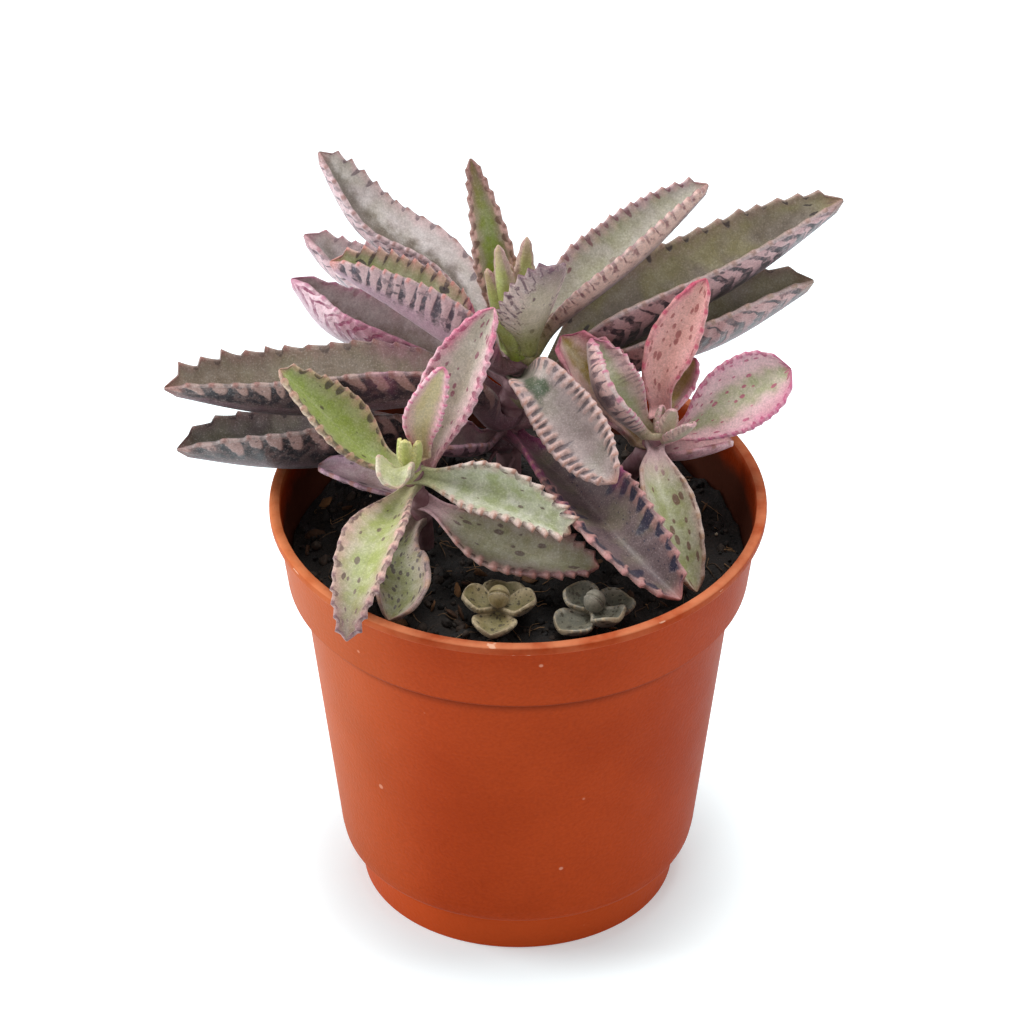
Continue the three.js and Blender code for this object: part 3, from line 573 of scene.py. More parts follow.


# %% [markdown]
# The skin of these leaves has a grey-green or pink ground with a pale waxy bloom. Dark purple-brown marks
# sit in the notches, and on the outside they run down between pale pink lobes and melt into a dark band.
# The finish reads each point's place on the leaf, so the marks follow the teeth. A look says what one
# leaf changes: its colours, how strong its marks, spots, bloom and blush are, and how much painted shade
# lies in its fold.


# %% Leaf finish
LOOK = dict(
    centre="7f7666", face="9a9088", rim="b8978f", base="8d6c70", green="8f9a5c", bloom="c9cac4",
    keel="8c727a", lobe="c9a29c", dark="3f3039", tip="9c6a5c", blush="b4537c", vein="b9b2aa",
    middle=0.25, rim_share=0.7, green_share=0.2, bloom_share=0.3, crest=0.0, marks=0.8,
    mark_depth=0.14, mark_width=0.5, streak=0.0, edge_line=0.3, stripes=0.9, slant=1.2, finger=0.0,
    bend=0.0, hollow=0.0, dust=0.12, blot=None, crest_from=0.62, band=0.35, width=0.15, spread=0.5,
    broken=0.15, flecks=0.5, spots=0.0, spot_size=1.0, spot_pitch=3.4, blush_share=0.0,
    blush_from=0.0, blush_to=0.5, vein_share=0.1, tip_share=0.8, tip_from=0.93, base_to=0.22,
    merge=0.5, rough=0.5,
)


def leaf_finish(name, length, half, changes):
    look = {**LOOK, **changes}
    f = Finish(name)
    colour = {key: tone(given) for key, given in look.items() if isinstance(given, str)}
    along = f.parts(f.kept("place"))
    across, back = along.other(1), along.other(2)
    tooth = f.kept("tooth", 2)
    edge = abs(across)
    skin = f.place()
    broad = f.noise(skin, 95.0)
    patch = f.noise(skin, 330.0, 3.0)
    grain = f.noise(skin, 1700.0)
    wobble = 2.4 * (patch - 0.5)

    inward = edge + 0.2 * wobble
    face = f.blend(f.fade(inward, look["middle"], look["middle"] + 0.5), colour["centre"], colour["face"])
    face = f.blend(f.fade(broad, 0.42, 0.62) * look["green_share"], face, colour["green"])
    face = f.blend(f.fade(patch, 0.3, 0.75) * look["bloom_share"], face, colour["bloom"])
    face = f.blend(f.fade(inward, 0.68, 1.0) * look["rim_share"], face, colour["rim"])
    # Painted shade in the leaf's fold: near the midrib the face takes the centre's colour, more on one
    # side than on the other.
    hollow = f.fade(inward, look["middle"] + 0.4, look["middle"]) * f.sided(look["hollow"], across)
    face = f.blend(hollow, face, colour["centre"])
    face = f.blend(f.fade(edge, 0.05, 0.0) * look["vein_share"], face, colour["vein"])

    crest = f.fade(f.maths("PINGPONG", tooth - BUMP_PHASE, 0.5), 0.34, 0.12)
    crest = crest * f.fade(edge, look["crest_from"], look["crest_from"] + 0.18)
    face = f.blend(crest * f.sided(look["crest"], across), face, colour["lobe"])
    notch = f.maths("PINGPONG", tooth + 0.1 * wobble, 0.5) * 2
    lot = f.tooth_lot(f.maths("ROUND", tooth), across)
    inset = look["mark_depth"] * (0.4 + 1.2 * lot) + look["streak"] * f.maths("FRACT", lot * 7.3) ** 2
    oval = ((notch / look["mark_width"]) ** 2 + ((1 - edge) / inset) ** 2) ** 0.5
    marks = f.fade(oval + 0.3 * wobble, 1.2, 0.85) * (1 - look["edge_line"] * f.fade(edge, 0.94, 0.97))
    marks = marks * f.sided(look["marks"], across)
    face = f.blend(marks, face, colour["dark"])

    wave = tooth + look["slant"] * abs(1 - look["bend"] - edge) + 0.3 * wobble
    between = f.maths("PINGPONG", wave, 0.5) * 2
    lot = f.tooth_lot(f.maths("ROUND", wave), across)
    deep = f.fade(edge, 0.97, look["merge"])
    stripe_width = look["width"] + look["spread"] * deep + 0.35 * (lot - 0.5) + 0.2 * wobble
    stripes = f.fade(between, stripe_width + 0.1, stripe_width - 0.08)
    if look["finger"]:
        reach = look["finger"] * (0.7 + 0.6 * f.tooth_lot(f.maths("FLOOR", wave), across))
        finger = (((1 - between) / 0.66) ** 2 + ((1 - edge) / reach) ** 2) ** 0.5
        stripes = f.fade(finger + 0.55 * wobble, 0.8, 1.15)
    stripes = stripes * f.fade(edge + 0.15 * wobble, look["band"], look["band"] + 0.2)
    blotch = f.noise(skin, 620.0)
    stripes = stripes * (1 - f.fade(blotch, 0.45, 0.62) * look["broken"])
    outside = f.blend(f.fade(inward, 0.25, 0.7), colour["keel"], colour["lobe"])
    outside = f.blend(f.fade(patch, 0.35, 0.7) * look["bloom_share"] * 0.5, outside, colour["bloom"])
    flecks = f.fade(blotch, 0.6, 0.66) * f.fade(edge, 0.15, 0.4) * look["flecks"]
    outside = f.blend(flecks, outside, colour["dark"])
    stripes = stripes * (1 - look["edge_line"] * f.fade(edge, 0.93, 0.97))
    dark = f.blend(0.15 * f.fade(blotch, 0.4, 0.65), colour["dark"], colour["lobe"])
    outside = f.blend(stripes * look["stripes"], outside, dark)
    outside = f.blend(look["edge_line"] * f.fade(edge, 0.95, 0.99) * 0.5, outside, colour["bloom"])

    if look["blot"]:
        at_along, at_across, long, wide = look["blot"]
        off = ((along - at_along) / long) ** 2 + ((across - at_across) / wide) ** 2
        face = f.blend(f.fade(off + 0.9 * wobble, 1.1, 0.0) * 0.9, face, colour["blush"])
    skin_colour = f.blend(back, face, outside)
    pitch = look["spot_pitch"]
    cells_at = {0: along * (0.75 * length / pitch) + 40 * back, 1: across * (1.3 * half / pitch)}
    flat = {"voronoi_dimensions": "2D"}
    cells = f.node("TexVoronoi", flat, {"Vector": f.node("CombineXYZ", {}, cells_at), "Scale": 1.0})
    lot = f.parts(cells.other(1))
    size = look["spot_size"] * (0.06 + 0.2 * lot.other(1))
    spots = f.fade(cells + 0.16 * wobble, size + 0.06, size - 0.04)
    spots = spots * f.fade(lot, 1 - look["spots"], 1.02 - look["spots"])
    skin_colour = f.blend(spots * 0.8, skin_colour, colour["dark"])

    blush = f.fade(along, look["blush_from"], look["blush_from"] + 0.12)
    blush = blush * f.fade(along, look["blush_to"] + 0.12, look["blush_to"]) * f.fade(broad, 0.4, 0.58)
    blush = blush * f.fade(inward, 0.35, 0.95) * look["blush_share"]
    skin_colour = f.blend(blush, skin_colour, colour["blush"])
    point = f.fade(f.maths("PINGPONG", tooth - TOOTH_PEAK, 0.5), 0.22, 0.04) * f.fade(edge, 0.88, 0.98)
    skin_colour = f.blend(point * look["tip_share"], skin_colour, colour["tip"])
    tip = f.fade(along, look["tip_from"], 1.0) * look["tip_share"]
    skin_colour = f.blend(tip, skin_colour, colour["tip"])
    skin_colour = f.blend(f.fade(along, look["base_to"], 0.02) * 0.9, skin_colour, colour["base"])
    speckle = f.noise(skin, 2900.0, 1.0)
    skin_colour = f.blend(f.fade(speckle, 0.56, 0.72) * look["dust"], skin_colour, colour["bloom"])
    skin_colour = f.blend(0.6, skin_colour, 0.1 + 0.9 * grain + 0.9 * speckle, "MULTIPLY")
    skin_colour = f.blend(0.6, skin_colour, 1 + 0.14 * wobble, "MULTIPLY")
    skin_colour = f.blend(1.0, skin_colour, (1.0, 0.93, 0.97, 1.0), "MULTIPLY")

    dark = f.maths("MAXIMUM", marks * (1 - back), stripes * back)
    roughness = look["rough"] + 0.2 * (patch - 0.5) - 0.12 * dark
    height = 0.5 * grain + 0.8 * patch - 0.5 * dark
    return f.shaded(skin_colour, roughness, height, 0.14, Sheen_Weight=0.12, Sheen_Roughness=0.5)


# %% [markdown]
# The old leaves of the tall plant are grey, olive and pink with near-black bands. The young leaves of the
# two front plants are fresh green or pink with small brown spots. Each leaf's look was chosen one by one.
# Leaves whose dark bands run alike share those values.

# %% Look of each leaf
MAIN_COLOURS = ("centre", "face", "rim", "keel", "lobe", "dark")
LEFT_CHEVRONS = dict(slant=2.8, spread=0.3, merge=0.3, bend=0.3)
LONG_FINGERS = dict(slant=1.6, finger=0.34, edge_line=0.4, dust=0.2)
RIGHT_CHEVRONS = dict(
    slant=2, bend=0.35, broken=0.4, stripes=0.95, band=0.1, width=0.28, spread=0.45, merge=0.4,
    edge_line=0.6,
)


def look_of(colours, **others):
    """A leaf's look: its main colours in their order, and what else differs from LOOK."""
    return {**dict(zip(MAIN_COLOURS, colours.split())), **others}


LOOKS = {
    "main_leaf_left_high": look_of("665c50 b3aca6 bfa3a1 a0868e d0b2b3 4a3844", **LEFT_CHEVRONS,
        middle=0.12, hollow=(0.75, 0.95), bloom="cfd0cb", bloom_share=0.5, marks=0.65,
        mark_width=0.35, mark_depth=0.1, streak=0.3, stripes=0.8, width=0.3, tip="8f6860"),
    "main_leaf_left_second": look_of("7d7270 a99b99 bfa6a4 b69aa2 dcbfc0 55414e", **LEFT_CHEVRONS,
        hollow=(0.3, 0.6), width=0.3, bloom_share=0.4, marks=0.5, mark_width=0.35, tip="a4747a"),
    "main_leaf_left_third": look_of("83736c a59793 bd98a0 d3b9c2 e8c9d0 8a3a5c", **LEFT_CHEVRONS,
        hollow=(0.2, 0.5), stripes=0.95, width=0.34, band=0.3, marks=0.4, blush_share=0.5,
        blush_to=0.7, blush="a83f6c", tip="ad6a84", broken=0.3),
    "main_leaf_left_inner": look_of("8c9a54 a0a178 c99f92 b193a0 c2a4a4 3d3340", green="939f58",
        green_share=0.4, stripes=0.95, band=0.3, width=0.35, spread=0.2, broken=0.5, marks=0.75,
        mark_width=0.35, streak=0.45, blush_share=0.8, blush_to=0.3, blush="b04a7c", tip="c07c72",
        spots=0.3, bloom_share=0.2),
    "main_leaf_left_long": look_of("857b68 8b8270 8f786c 6c5459 ab8c80 17141f", **LONG_FINGERS,
        bloom_share=0.12, stripes=0.96, band=0.3, blush_share=0.35, marks=(0.5, 0.9),
        blush_from=0.1, blush_to=0.35, blush="b0608a", tip="85584e", base="84606a",
        mark_depth=0.09),
    "main_leaf_left_low": look_of("4f4a47 645d58 705e58 5a464c a08279 100e18", **LONG_FINGERS,
        bloom_share=0.15, stripes=0.98, band=0.22, tip="7a564c", base="6d4f58", mark_depth=0.12,
        marks=(0.6, 0.95)),
    "main_leaf_left_small": look_of("a98f92 bda2a4 c58ea6 b98ea0 cba0ae 5c3048", spots=0.3),
    "main_leaf_upright": look_of("90ad36 a09470 c4a096 aaa084 d9b3a8 5c3a34", green="8fa048",
        middle=0.18, tip="7c5448", mark_depth=0.3, crest=0.8, base="9db068", tip_from=0.55),
    "main_leaf_crown_front": look_of("979a68 a89688 a8808c bbb49a d0bfb4 614450", stripes=0.8,
        slant=2.6, width=0.34, spread=-0.1, broken=0.6, spots=0.5, spot_size=0.7, tip="6d4c5a",
        tip_from=0.62, tip_share=0.75, base="94a050", base_to=0.5, bloom="ddd6cc", flecks=0.8),
    "main_leaf_right_high": look_of("a3a390 9f9d8e b0909a a38d92 dcbaaa 6e3844", green="8c9856",
        green_share=0.4, vein_share=0.9, vein="ccc9c4", slant=0.5, width=0.3, spread=0, band=0.66,
        stripes=0.85, crest=(0.8, 0.2), marks=0.75, mark_width=0.45, mark_depth=0.2, tip="a47c74",
        spots=0.12, base="97995c"),
    "main_leaf_right_long": look_of("7b7363 8d866f 9a8678 846a72 c09c9b 2a222c", **RIGHT_CHEVRONS,
        green="96964f", green_share=0.45, tip="96786a", spots=0.12, base="8f8a68", bloom_share=0.15,
        mark_width=0.35),
    "main_leaf_right_low": look_of("77725f 7f7a68 8a776a 86686e b8938f 352a32", **RIGHT_CHEVRONS,
        green="8a8a50", green_share=0.3, tip="957c68", bloom_share=0.12, mark_width=0.4),
    # The dark marks between this leaf's ridges are partly its own marks and partly painted shade between
    # the ridges.
    "main_leaf_front_bent": look_of("958983 b0a19d b9a29c 8d8485 cdb0a4 524c52", green="8a9378",
        green_share=0.4, dust=0.25, crest=(0.9, 0.7), crest_from=0.42, marks=0.7, mark_depth=0.45,
        mark_width=0.42, streak=0.1, edge_line=0.8, stripes=0.8, slant=0.5, tip="b78a78",
        bloom_share=0.35, bloom="c9beb8", blush="37502f", blot=(0.34, -0.1, 0.12, 0.5),
        base="6a7458", base_to=0.3),
    "main_leaf_front_low": look_of("5a494a 634f50 7a5450 655262 b98a80 1f1c34", dust=0.35,
        bloom_share=0.15, bloom="9a8c88", crest=(0.6, 0.4), marks=1.0, mark_depth=0.5,
        mark_width=0.8, spots=0.6, spot_size=0.5, spot_pitch=1.6, edge_line=0.6, blush_share=0.9,
        blush="9c4072", tip="c08a84", stripes=0.85, slant=0.8, base="7c3f5c"),
    "left_leaf_back": look_of("869c40 8f9856 a8936f 94918a bfa685 38231f", green="8ba04a",
        green_share=0.35, tip="a8806c", spots=0.3, spot_size=0.6, bloom_share=0.15,
        crest=(0.3, 0.8), marks=(0.8, 0.95), mark_width=0.62, mark_depth=0.26, stripes=0.75,
        slant=0.7, base="a3ab74"),
    "left_leaf_upright": look_of("beb9a4 d0b6b4 df9cb2 d9a9b4 e2b4be 8f4560", green_share=0.08,
        dust=0.3, tip="c04d70", blush="c04a74", blush_share=0.6, blush_from=0.55, blush_to=1.0,
        marks=0.9, mark_depth=0.22, mark_width=0.6, rim_share=0.4, tip_share=0.35, stripes=0.35,
        spots=0.7, spot_size=0.9, spot_pitch=2.8, bloom_share=0.45, bloom="d6d6c8", base="c79a9c",
        crest=0.5),
    "left_leaf_upright_small": look_of("d3ca98 dbbab0 dfa9b4 cfae9a e6b6c0 a04a60", green_share=0.0,
        tip="cc6488", marks=(0.4, 0.0), stripes=0.25, bloom="dcd8cb", base="c3b48c",
        crest=(0.8, 0.0)),
    "left_leaf_right_upper": look_of("a3b082 b2bb9c bdb6a6 a8a18f ccb0a2 573c36", bloom_share=0.6,
        bloom="dfe2da", crest=(0.7, 0.3), marks=(0.85, 0.6), mark_depth=0.16, mark_width=0.45,
        tip="96644e", spots=0.3, spot_size=0.6, stripes=0.6, slant=0.6, base="b7bf8c",
        green="a0af70", green_share=0.3),
    "left_leaf_right_lower": look_of("878866 968f7a b08a82 b08c8c c79f94 4d3834", marks=(0.9, 0.5),
        mark_depth=0.2, crest=(0.8, 0.2), spots=0.5, tip="a87468", bloom_share=0.25, stripes=0.6,
        base="c9a8ac", blush="7d5a5a", blush_share=0.8, blush_from=0.5, blush_to=1.2),
    "left_leaf_over_rim": look_of("93a255 b0a285 c0a092 b3a390 d1a99c 583f3c", green="a3b06c",
        green_share=0.45, marks=(0.75, 0.9), mark_depth=0.18, crest=(0.2, 0.6), spots=0.4,
        spot_size=0.9, spot_pitch=2.8, tip="6a464c", tip_from=0.62, bloom_share=0.35,
        bloom="d2cfc2", stripes=0.6, base="b9b98c"),
    "left_leaf_front_low": look_of("848c58 928a6e a58684 9c927f a89282 42343a", marks=0.7,
        spots=0.9, spot_size=1.15, spot_pitch=2.0, stripes=0.5, tip="a98a70", base="a99a8c"),
    "left_leaf_side_small": look_of("a58690 b091a0 c79ab4 b08f9c c09aa8 4d3742", spots=0.4),
    "left_leaf_crown_front": look_of("a6b068 b4bb88 c9c4a4 b3b582 c9c3a2 7a6454", marks=0.4,
        mark_depth=0.1, mark_width=0.3, stripes=0.2, tip="c9a896", base="b0b872"),
    "right_leaf_upright": look_of("d39e92 d5a098 cf8c8e dda094 dd9d98 934844", spots=0.75,
        spot_size=1.1, spot_pitch=2.4, tip="b83a5c", blush="b83a5e", blush_share=0.8,
        blush_from=0.75, blush_to=1.2, marks=0.5, mark_depth=0.1, stripes=0.3, bloom_share=0.2,
        bloom="e3c4bc", base="cba09c", green_share=0.0),
    "right_leaf_upright_small": look_of("b8ac68 d3aaa8 d092a4 d3a9a4 d8a0aa a84c6a", middle=0.1,
        tip="bc4c78", marks=0.4, stripes=0.3, bloom_share=0.25, base="b9ae70", green_share=0.0),
    "right_leaf_outer": look_of("a3ab80 d3b2b2 d39aac d7b0aa dfa6ae a83f66", middle=0.1, spots=0.6,
        spot_size=0.85, spot_pitch=2.4, tip="b8507a", blush="c4668c", blush_share=0.4,
        blush_from=0.45, blush_to=1.2, marks=0.85, mark_depth=0.12, mark_width=0.45, stripes=0.35,
        bloom_share=0.35, bloom="e2cfcd", base="c99c98", green_share=0.0),
    "right_leaf_outer_low": look_of("d0aaa8 d3b0b0 cf98a4 cfa8a8 d3a4aa a05468", marks=0.4,
        stripes=0.3, spots=0.3, green_share=0.0),
    "right_leaf_inner_front": look_of("a0a87e c09f9f caa3a2 a99a94 d3b2aa 4d454f", middle=0.3,
        stripes=0.85, slant=0.4, crest=(0.2, 0.95), marks=(0.3, 0.9), mark_depth=0.38,
        edge_line=0.8, tip="b8607f", blush="b04a76", blush_share=0.5, blush_from=0.7, blush_to=1.2,
        base="a9a07c"),
    "right_leaf_inner_back": look_of("8c7a36 c4a294 c08c90 b58c84 cf9a98 5a2c38", middle=0.05,
        green_share=0, tip_share=0.5, tip="a03a5c", blush="a83a5e", blush_share=0.6,
        blush_from=0.75, blush_to=1.2, base="8f7a5a", crest=(0.6, 0.6), mark_depth=0.25,
        rim_share=0.5),
    "right_leaf_hanging": look_of("959e68 a9a88a b8a090 a89c88 b9a090 643e38", spots=0.7,
        spot_size=1.1, marks=0.5, mark_depth=0.12, tip="9a7a5c", base="c2a8aa", base_to=0.4,
        bloom_share=0.35),
}

# %% Make the leaves
triangles = 0
for leaf in LEAVES:
    spine, centre = leaf_spine(leaf)
    finish = leaf_finish(leaf["name"] + "_skin", spine.length, leaf["half"], LOOKS[leaf["name"]])
    blade = leaf_shape({**leaf, "slant": LOOKS[leaf["name"]].get("slant", LOOK["slant"])}, spine, centre)
    fine = make_piece(leaf["name"] + "_fine", [blade], finish, [leaf["name"]])
    triangles += sum(len(p.vertices) - 2 for p in fine.data.polygons)
print("leaf triangles:", triangles)

# %% [markdown]
# A stem is a soft tube with a swelling where each leaf leaves it. Small young leaves close the crown,
# and thin pale roots leave the foot of the tall plant. They are grown as one in the CAD model, so the
# stem, its young leaves and its roots stand for that one node together.


# %% Stems
def tube_shape(spine, radii, sides, rows, lumps=(), lot=0.0):
    """A round tube along a curve. lumps are pairs of a height and how far the tube swells there."""
    share = np.linspace(0, 1, rows)
    centre, along = spine.at(share), spine.along(share)
    radius = np.interp(share, np.linspace(0, 1, len(radii)), radii)
    for height, swell in lumps:
        radius = radius + swell * np.exp(-(((centre[:, 2] - height) / 1.0) ** 2))
    aside = np.cross(along, [0.31, 0.95, 0.05])
    aside /= np.linalg.norm(aside, axis=1, keepdims=True)
    front = np.cross(along, aside)
    turn = np.linspace(0, 2 * np.pi, sides, endpoint=False)
    round_off = np.ones(rows)
    round_off[-3:] = [0.9, 0.7, 0.35]
    reach = (radius * round_off)[:, None, None]
    circle = np.cos(turn)[:, None] * aside[:, None] + np.sin(turn)[:, None] * front[:, None]
    points = centre[:, None] + reach * circle
    place = np.zeros((rows * sides, 3))
    place[:, 0] = np.repeat(share, sides)
    place[:, 1] = lot
    return Shape(points.reshape(-1, 3), closed_faces(rows, sides), place)


def stem_skin():
    """Dull brownish pink skin, with painted shade toward the soil."""
    f = Finish("stem_skin")
    place = f.place()
    patch = f.noise(place, 260.0, 3.0)
    grain = f.noise(place, 1500.0)
    up = f.parts(place).other(2)
    colour = f.blend(f.fade(patch, 0.35, 0.65), tone("8c626a"), tone("b08f94"))
    # Painted shade: the stem is darker low down, toward the soil.
    colour = f.blend(f.fade(up, 0.1, 0.084) * 0.6, colour, tone("5b3f40"))
    colour = f.blend(0.5, colour, 0.6 + 0.8 * grain, "MULTIPLY")
    return f.shaded(colour, 0.55 + 0.1 * patch, patch + 0.4 * grain, 0.3)


YOUNG_SHAPE = dict(
    roll=0, fold=14, cup=40, twist=0, widest=0.45, neck=1.1, lobes=0.1, frill=0.05, teeth=8, bite=1.1,
    blunt=1.15, grow=-0.65, tip_round=1.2,
)
STUBBY = dict(teeth=5, bite=0.5, grow=-0.3, cup=4, blunt=3, tip_round=0.6)
YOUNG_LEAVES = {
    "main": [
        dict(tip=(-4.1, 17, 147.5), half=3, facing=-110),
        dict(tip=(1.8, 20, 147.5), half=3.2, facing=-75),
        dict(tip=(-2.2, 18.5, 142), half=2.6, facing=-70),
        dict(tip=(-6.4, 18.5, 140.5), half=2.6, facing=-120),
    ],
    "left": [
        dict(tip=(-23.6, -11, 117.5), half=1.4, facing=-100, **STUBBY),
        dict(tip=(-21.2, -10.5, 116.8), half=1.3, facing=-40, **STUBBY),
        dict(tip=(-24.4, -8.5, 116), half=1.2, facing=200, **STUBBY),
    ],
    "right": [
        dict(tip=(32.6, 6.5, 113), half=1.8, facing=-80, teeth=5, bite=0.5, blunt=1.8),
        dict(tip=(36.8, 1, 113), half=1.9, facing=-60, teeth=6, bite=0.5, grow=-0.3, bump=0.4, blunt=3),
        dict(tip=(30.4, 8, 112.5), half=1.6, facing=150, teeth=5, bite=0.5, blunt=1.8),
    ],
}
YOUNG_LOOKS = {
    "main": look_of("b2c750 bcc684 cdb9a4 b4c46c cdbca8 8a6a60", tip="b98f88", tip_from=0.7,
        tip_share=0.7, base="a3c040", marks=0.25, stripes=0.25, slant=0.3),
    "left": look_of("bcc560 c6cc7c d9da90 b9c472 d4d68c a09a5a", tip="d0cb7c", base="a9b858",
        marks=0.2, stripes=0.2, bloom="e0e2c0"),
    "right": look_of("a9b888 c3b9a0 d9baae b9b096 d9bdb0 7b5a58", tip="cc9aa0", base="a9a07c",
        marks=0.4, stripes=0.4, bloom_share=0.4),
}


def young_leaf(young, crown):
    """A young leaf from just below the crown to its tip, bulging to the side that it faces."""
    base = np.array(crown, float) - (0, 0, 2)
    tip = np.array(young["tip"], float)
    facing = math.radians(young["facing"])
    middle = base + 0.45 * (tip - base) + 0.8 * np.array([math.cos(facing), math.sin(facing), 0])
    return leaf_shape({**YOUNG_SHAPE, **young}, Spine([base, middle, tip]))


SWELLING = 0.35
CROWN_LENGTH = {"main": 24.0, "left": 9.0, "right": 9.0}
CROWN_HALF = 2.2
stem_material = stem_skin()
ROOTS = [
    [(-3.5, 22.8, 92), (-6, 19.5, 90), (-7, 17, 85), (-8, 15.5, 80)],
    [(0.5, 22.4, 91), (3.5, 18.5, 90), (6, 16, 86), (8, 15, 80)],
    [(-1, 22, 89), (-2, 18, 88), (-1, 15, 84), (1, 13, 80)],
]
for key, stem in STEMS.items():
    lumps = [(leaf["height"], SWELLING) for leaf in LEAVES if leaf["stem"] == key]
    shapes = [tube_shape(Spine(stem["points"]), stem["radii"], sides=28, rows=90, lumps=lumps)]
    if key == "main":
        shapes += [tube_shape(Spine(p), [0.45, 0.35, 0.3], sides=8, rows=24) for p in ROOTS]
    make_piece(f"{key}_stem_fine", shapes, stem_material, [f"{key}_stem"])
    young = [young_leaf(y, stem["points"][-1]) for y in YOUNG_LEAVES[key]]
    young_skin = leaf_finish(f"{key}_crown_skin", CROWN_LENGTH[key], CROWN_HALF, YOUNG_LOOKS[key])
    make_piece(f"{key}_crown_fine", young, young_skin, [f"{key}_stem"])
print("stems and crowns made")

# %% [markdown]
# Two tiny rosettes have sown themselves on the soil. Each has crossed pairs of round, cupped, olive
# leaves with a faintly scalloped pale edge, and a bud of two halves pressed together, with a slit.

# %% Plantlets
SOIL_LEVEL = 82
HOLE_DEPTH = 9
GAP = 0.3
PLANTLETS = [
    dict(name="plantlet_left", at=(-4, -28), top=89.5, turn=172, slit=-8,
         look=look_of("746f42 857b4e b3a883 68624a 857c5c 35301f")),
    dict(name="plantlet_right", at=(16, -29), top=89, turn=130, slit=-32,
         look=look_of("54584a 666a5c a8a796 5c5e4e 7a7a68 35301f")),
]
PLANTLET_PAIRS = [
    dict(drop=2.4, reach=7.6, half=4.3, rise=2.2),
    dict(drop=4.2, reach=9.4, half=4.8, rise=0.9),
]
PLANTLET_LEAF = dict(
    roll=0, fold=4, cup=42, twist=0, widest=0.53, neck=1.2, teeth=5, bite=0.06, lobes=0, frill=0,
    tip_round=0.5, blunt=2.8, taper=0.5,
)
PLANTLET_LOOK = dict(
    tip="a89c7a", base="57523c", marks=0.3, mark_depth=0.12, stripes=0.0, spots=0.6, spot_size=1.5,
    spot_pitch=1.5, bloom="9f987c", bloom_share=0.35, green_share=0.0, vein_share=0.0, rough=0.62,
)
BUD_RADIUS = 2.3
BUD_HEIGHT = 2.6
BUD_LEAN = math.radians(30)
PLANTLET_TURN = 88


def bud_shape(centre, slit_turn):
    """A closed bud that leans to the front: two halves pressed together, with a groove over its top."""
    rows, columns = 36, 48
    down = np.linspace(0.02, np.pi - 0.02, rows)[:, None]
    round_it = np.linspace(0, 2 * np.pi, columns, endpoint=False)[None]
    level = np.sin(down)
    sides = (level * np.cos(round_it), level * np.sin(round_it), np.cos(down))
    ball = np.stack(np.broadcast_arrays(*sides), -1)
    slit = math.radians(slit_turn)
    top = np.array([0, -math.sin(BUD_LEAN), math.cos(BUD_LEAN)])
    off = ball @ np.cross(top, [math.cos(slit), math.sin(slit), 0])
    groove = np.exp(-((off / 0.09) ** 2)) * smooth_step(ball @ top, -0.3, 0.3)
    lip = np.exp(-(((off + 0.18) / 0.12) ** 2)) * smooth_step(ball @ top, -0.1, 0.4)
    size = np.array([BUD_RADIUS, BUD_RADIUS, BUD_HEIGHT])
    points = np.array(centre) + ball * size * (1 - 0.25 * groove + 0.06 * lip)[..., None]
    place = np.zeros((rows * columns, 3))
    place[:, 0] = (0.5 - 0.3 * groove).ravel()
    place[:, 1] = (0.8 + 0.18 * lip).ravel()
    return Shape(points.reshape(-1, 3), closed_faces(rows, columns, flip=True), place)


for plantlet in PLANTLETS:
    x, y = plantlet["at"]
    foot = SOIL_LEVEL - HOLE_DEPTH + GAP
    stalk = Spine([(x, y, foot), (x, y, SOIL_LEVEL), (x, y, plantlet["top"] - 1)])
    shapes = [tube_shape(stalk, [1.1, 1.1], sides=14, rows=20)]
    for i, pair in enumerate(PLANTLET_PAIRS):
        for side in (0, 180):
            facing = math.radians(plantlet["turn"] + PLANTLET_TURN * i + side)
            ahead = np.array([math.cos(facing), math.sin(facing), 0])
            start = np.array([x, y, plantlet["top"] - pair["drop"]])
            middle = start + 0.55 * pair["reach"] * ahead - (0, 0, 0.2)
            end = start + pair["reach"] * ahead + (0, 0, pair["rise"])
            leaf = {**PLANTLET_LEAF, "half": pair["half"]}
            shapes.append(leaf_shape(leaf, Spine([start, middle, end])))
    shapes.append(bud_shape((x, y, plantlet["top"] - 0.1 * BUD_HEIGHT), plantlet["slit"]))
    look = {**PLANTLET_LOOK, **plantlet["look"]}
    skin = leaf_finish(plantlet["name"] + "_skin", length=15.0, half=4.5, changes=look)
    make_piece(plantlet["name"] + "_fine", shapes, skin, [plantlet["name"]])
print("plantlets:", len(PLANTLETS))

# %% [markdown]
# The pot is thin moulded plastic. A lathe of its section gives the shape, and each corner of the
# section is rounded off a little, because moulded edges are never sharp and a rounded edge catches the
# light. The drain holes are cut once with a Boolean, whose result is kept as the mesh.

# %% Pot
RIM_RADIUS = 52.5
POT_HEIGHT = 93.75
FOOT_RADIUS = 33.1
FLOOR = 2.6
POT_SIDES = 144
POT_OUTSIDE = [
    (11, 0), (13, 1.6), (26, 1.6), (28, 0), (FOOT_RADIUS, 0), (33.4, 9.3), (36.2, 9.6), (37.3, 11),
    (37.8, 13.3), (45.7, 75.8), (48.7, 75.8), (50.95, 91.8), (RIM_RADIUS, 91.8),
    (RIM_RADIUS, POT_HEIGHT), (50.4, POT_HEIGHT),
]
POT_INSIDE = [
    (50.05, 91.8), (47.8, 76.7), (44.8, 76.7), (44.8, 75.8), (36.9, 14.2), (35.8, 10.5), (32.5, 10.5),
    (32.2, FLOOR),
]


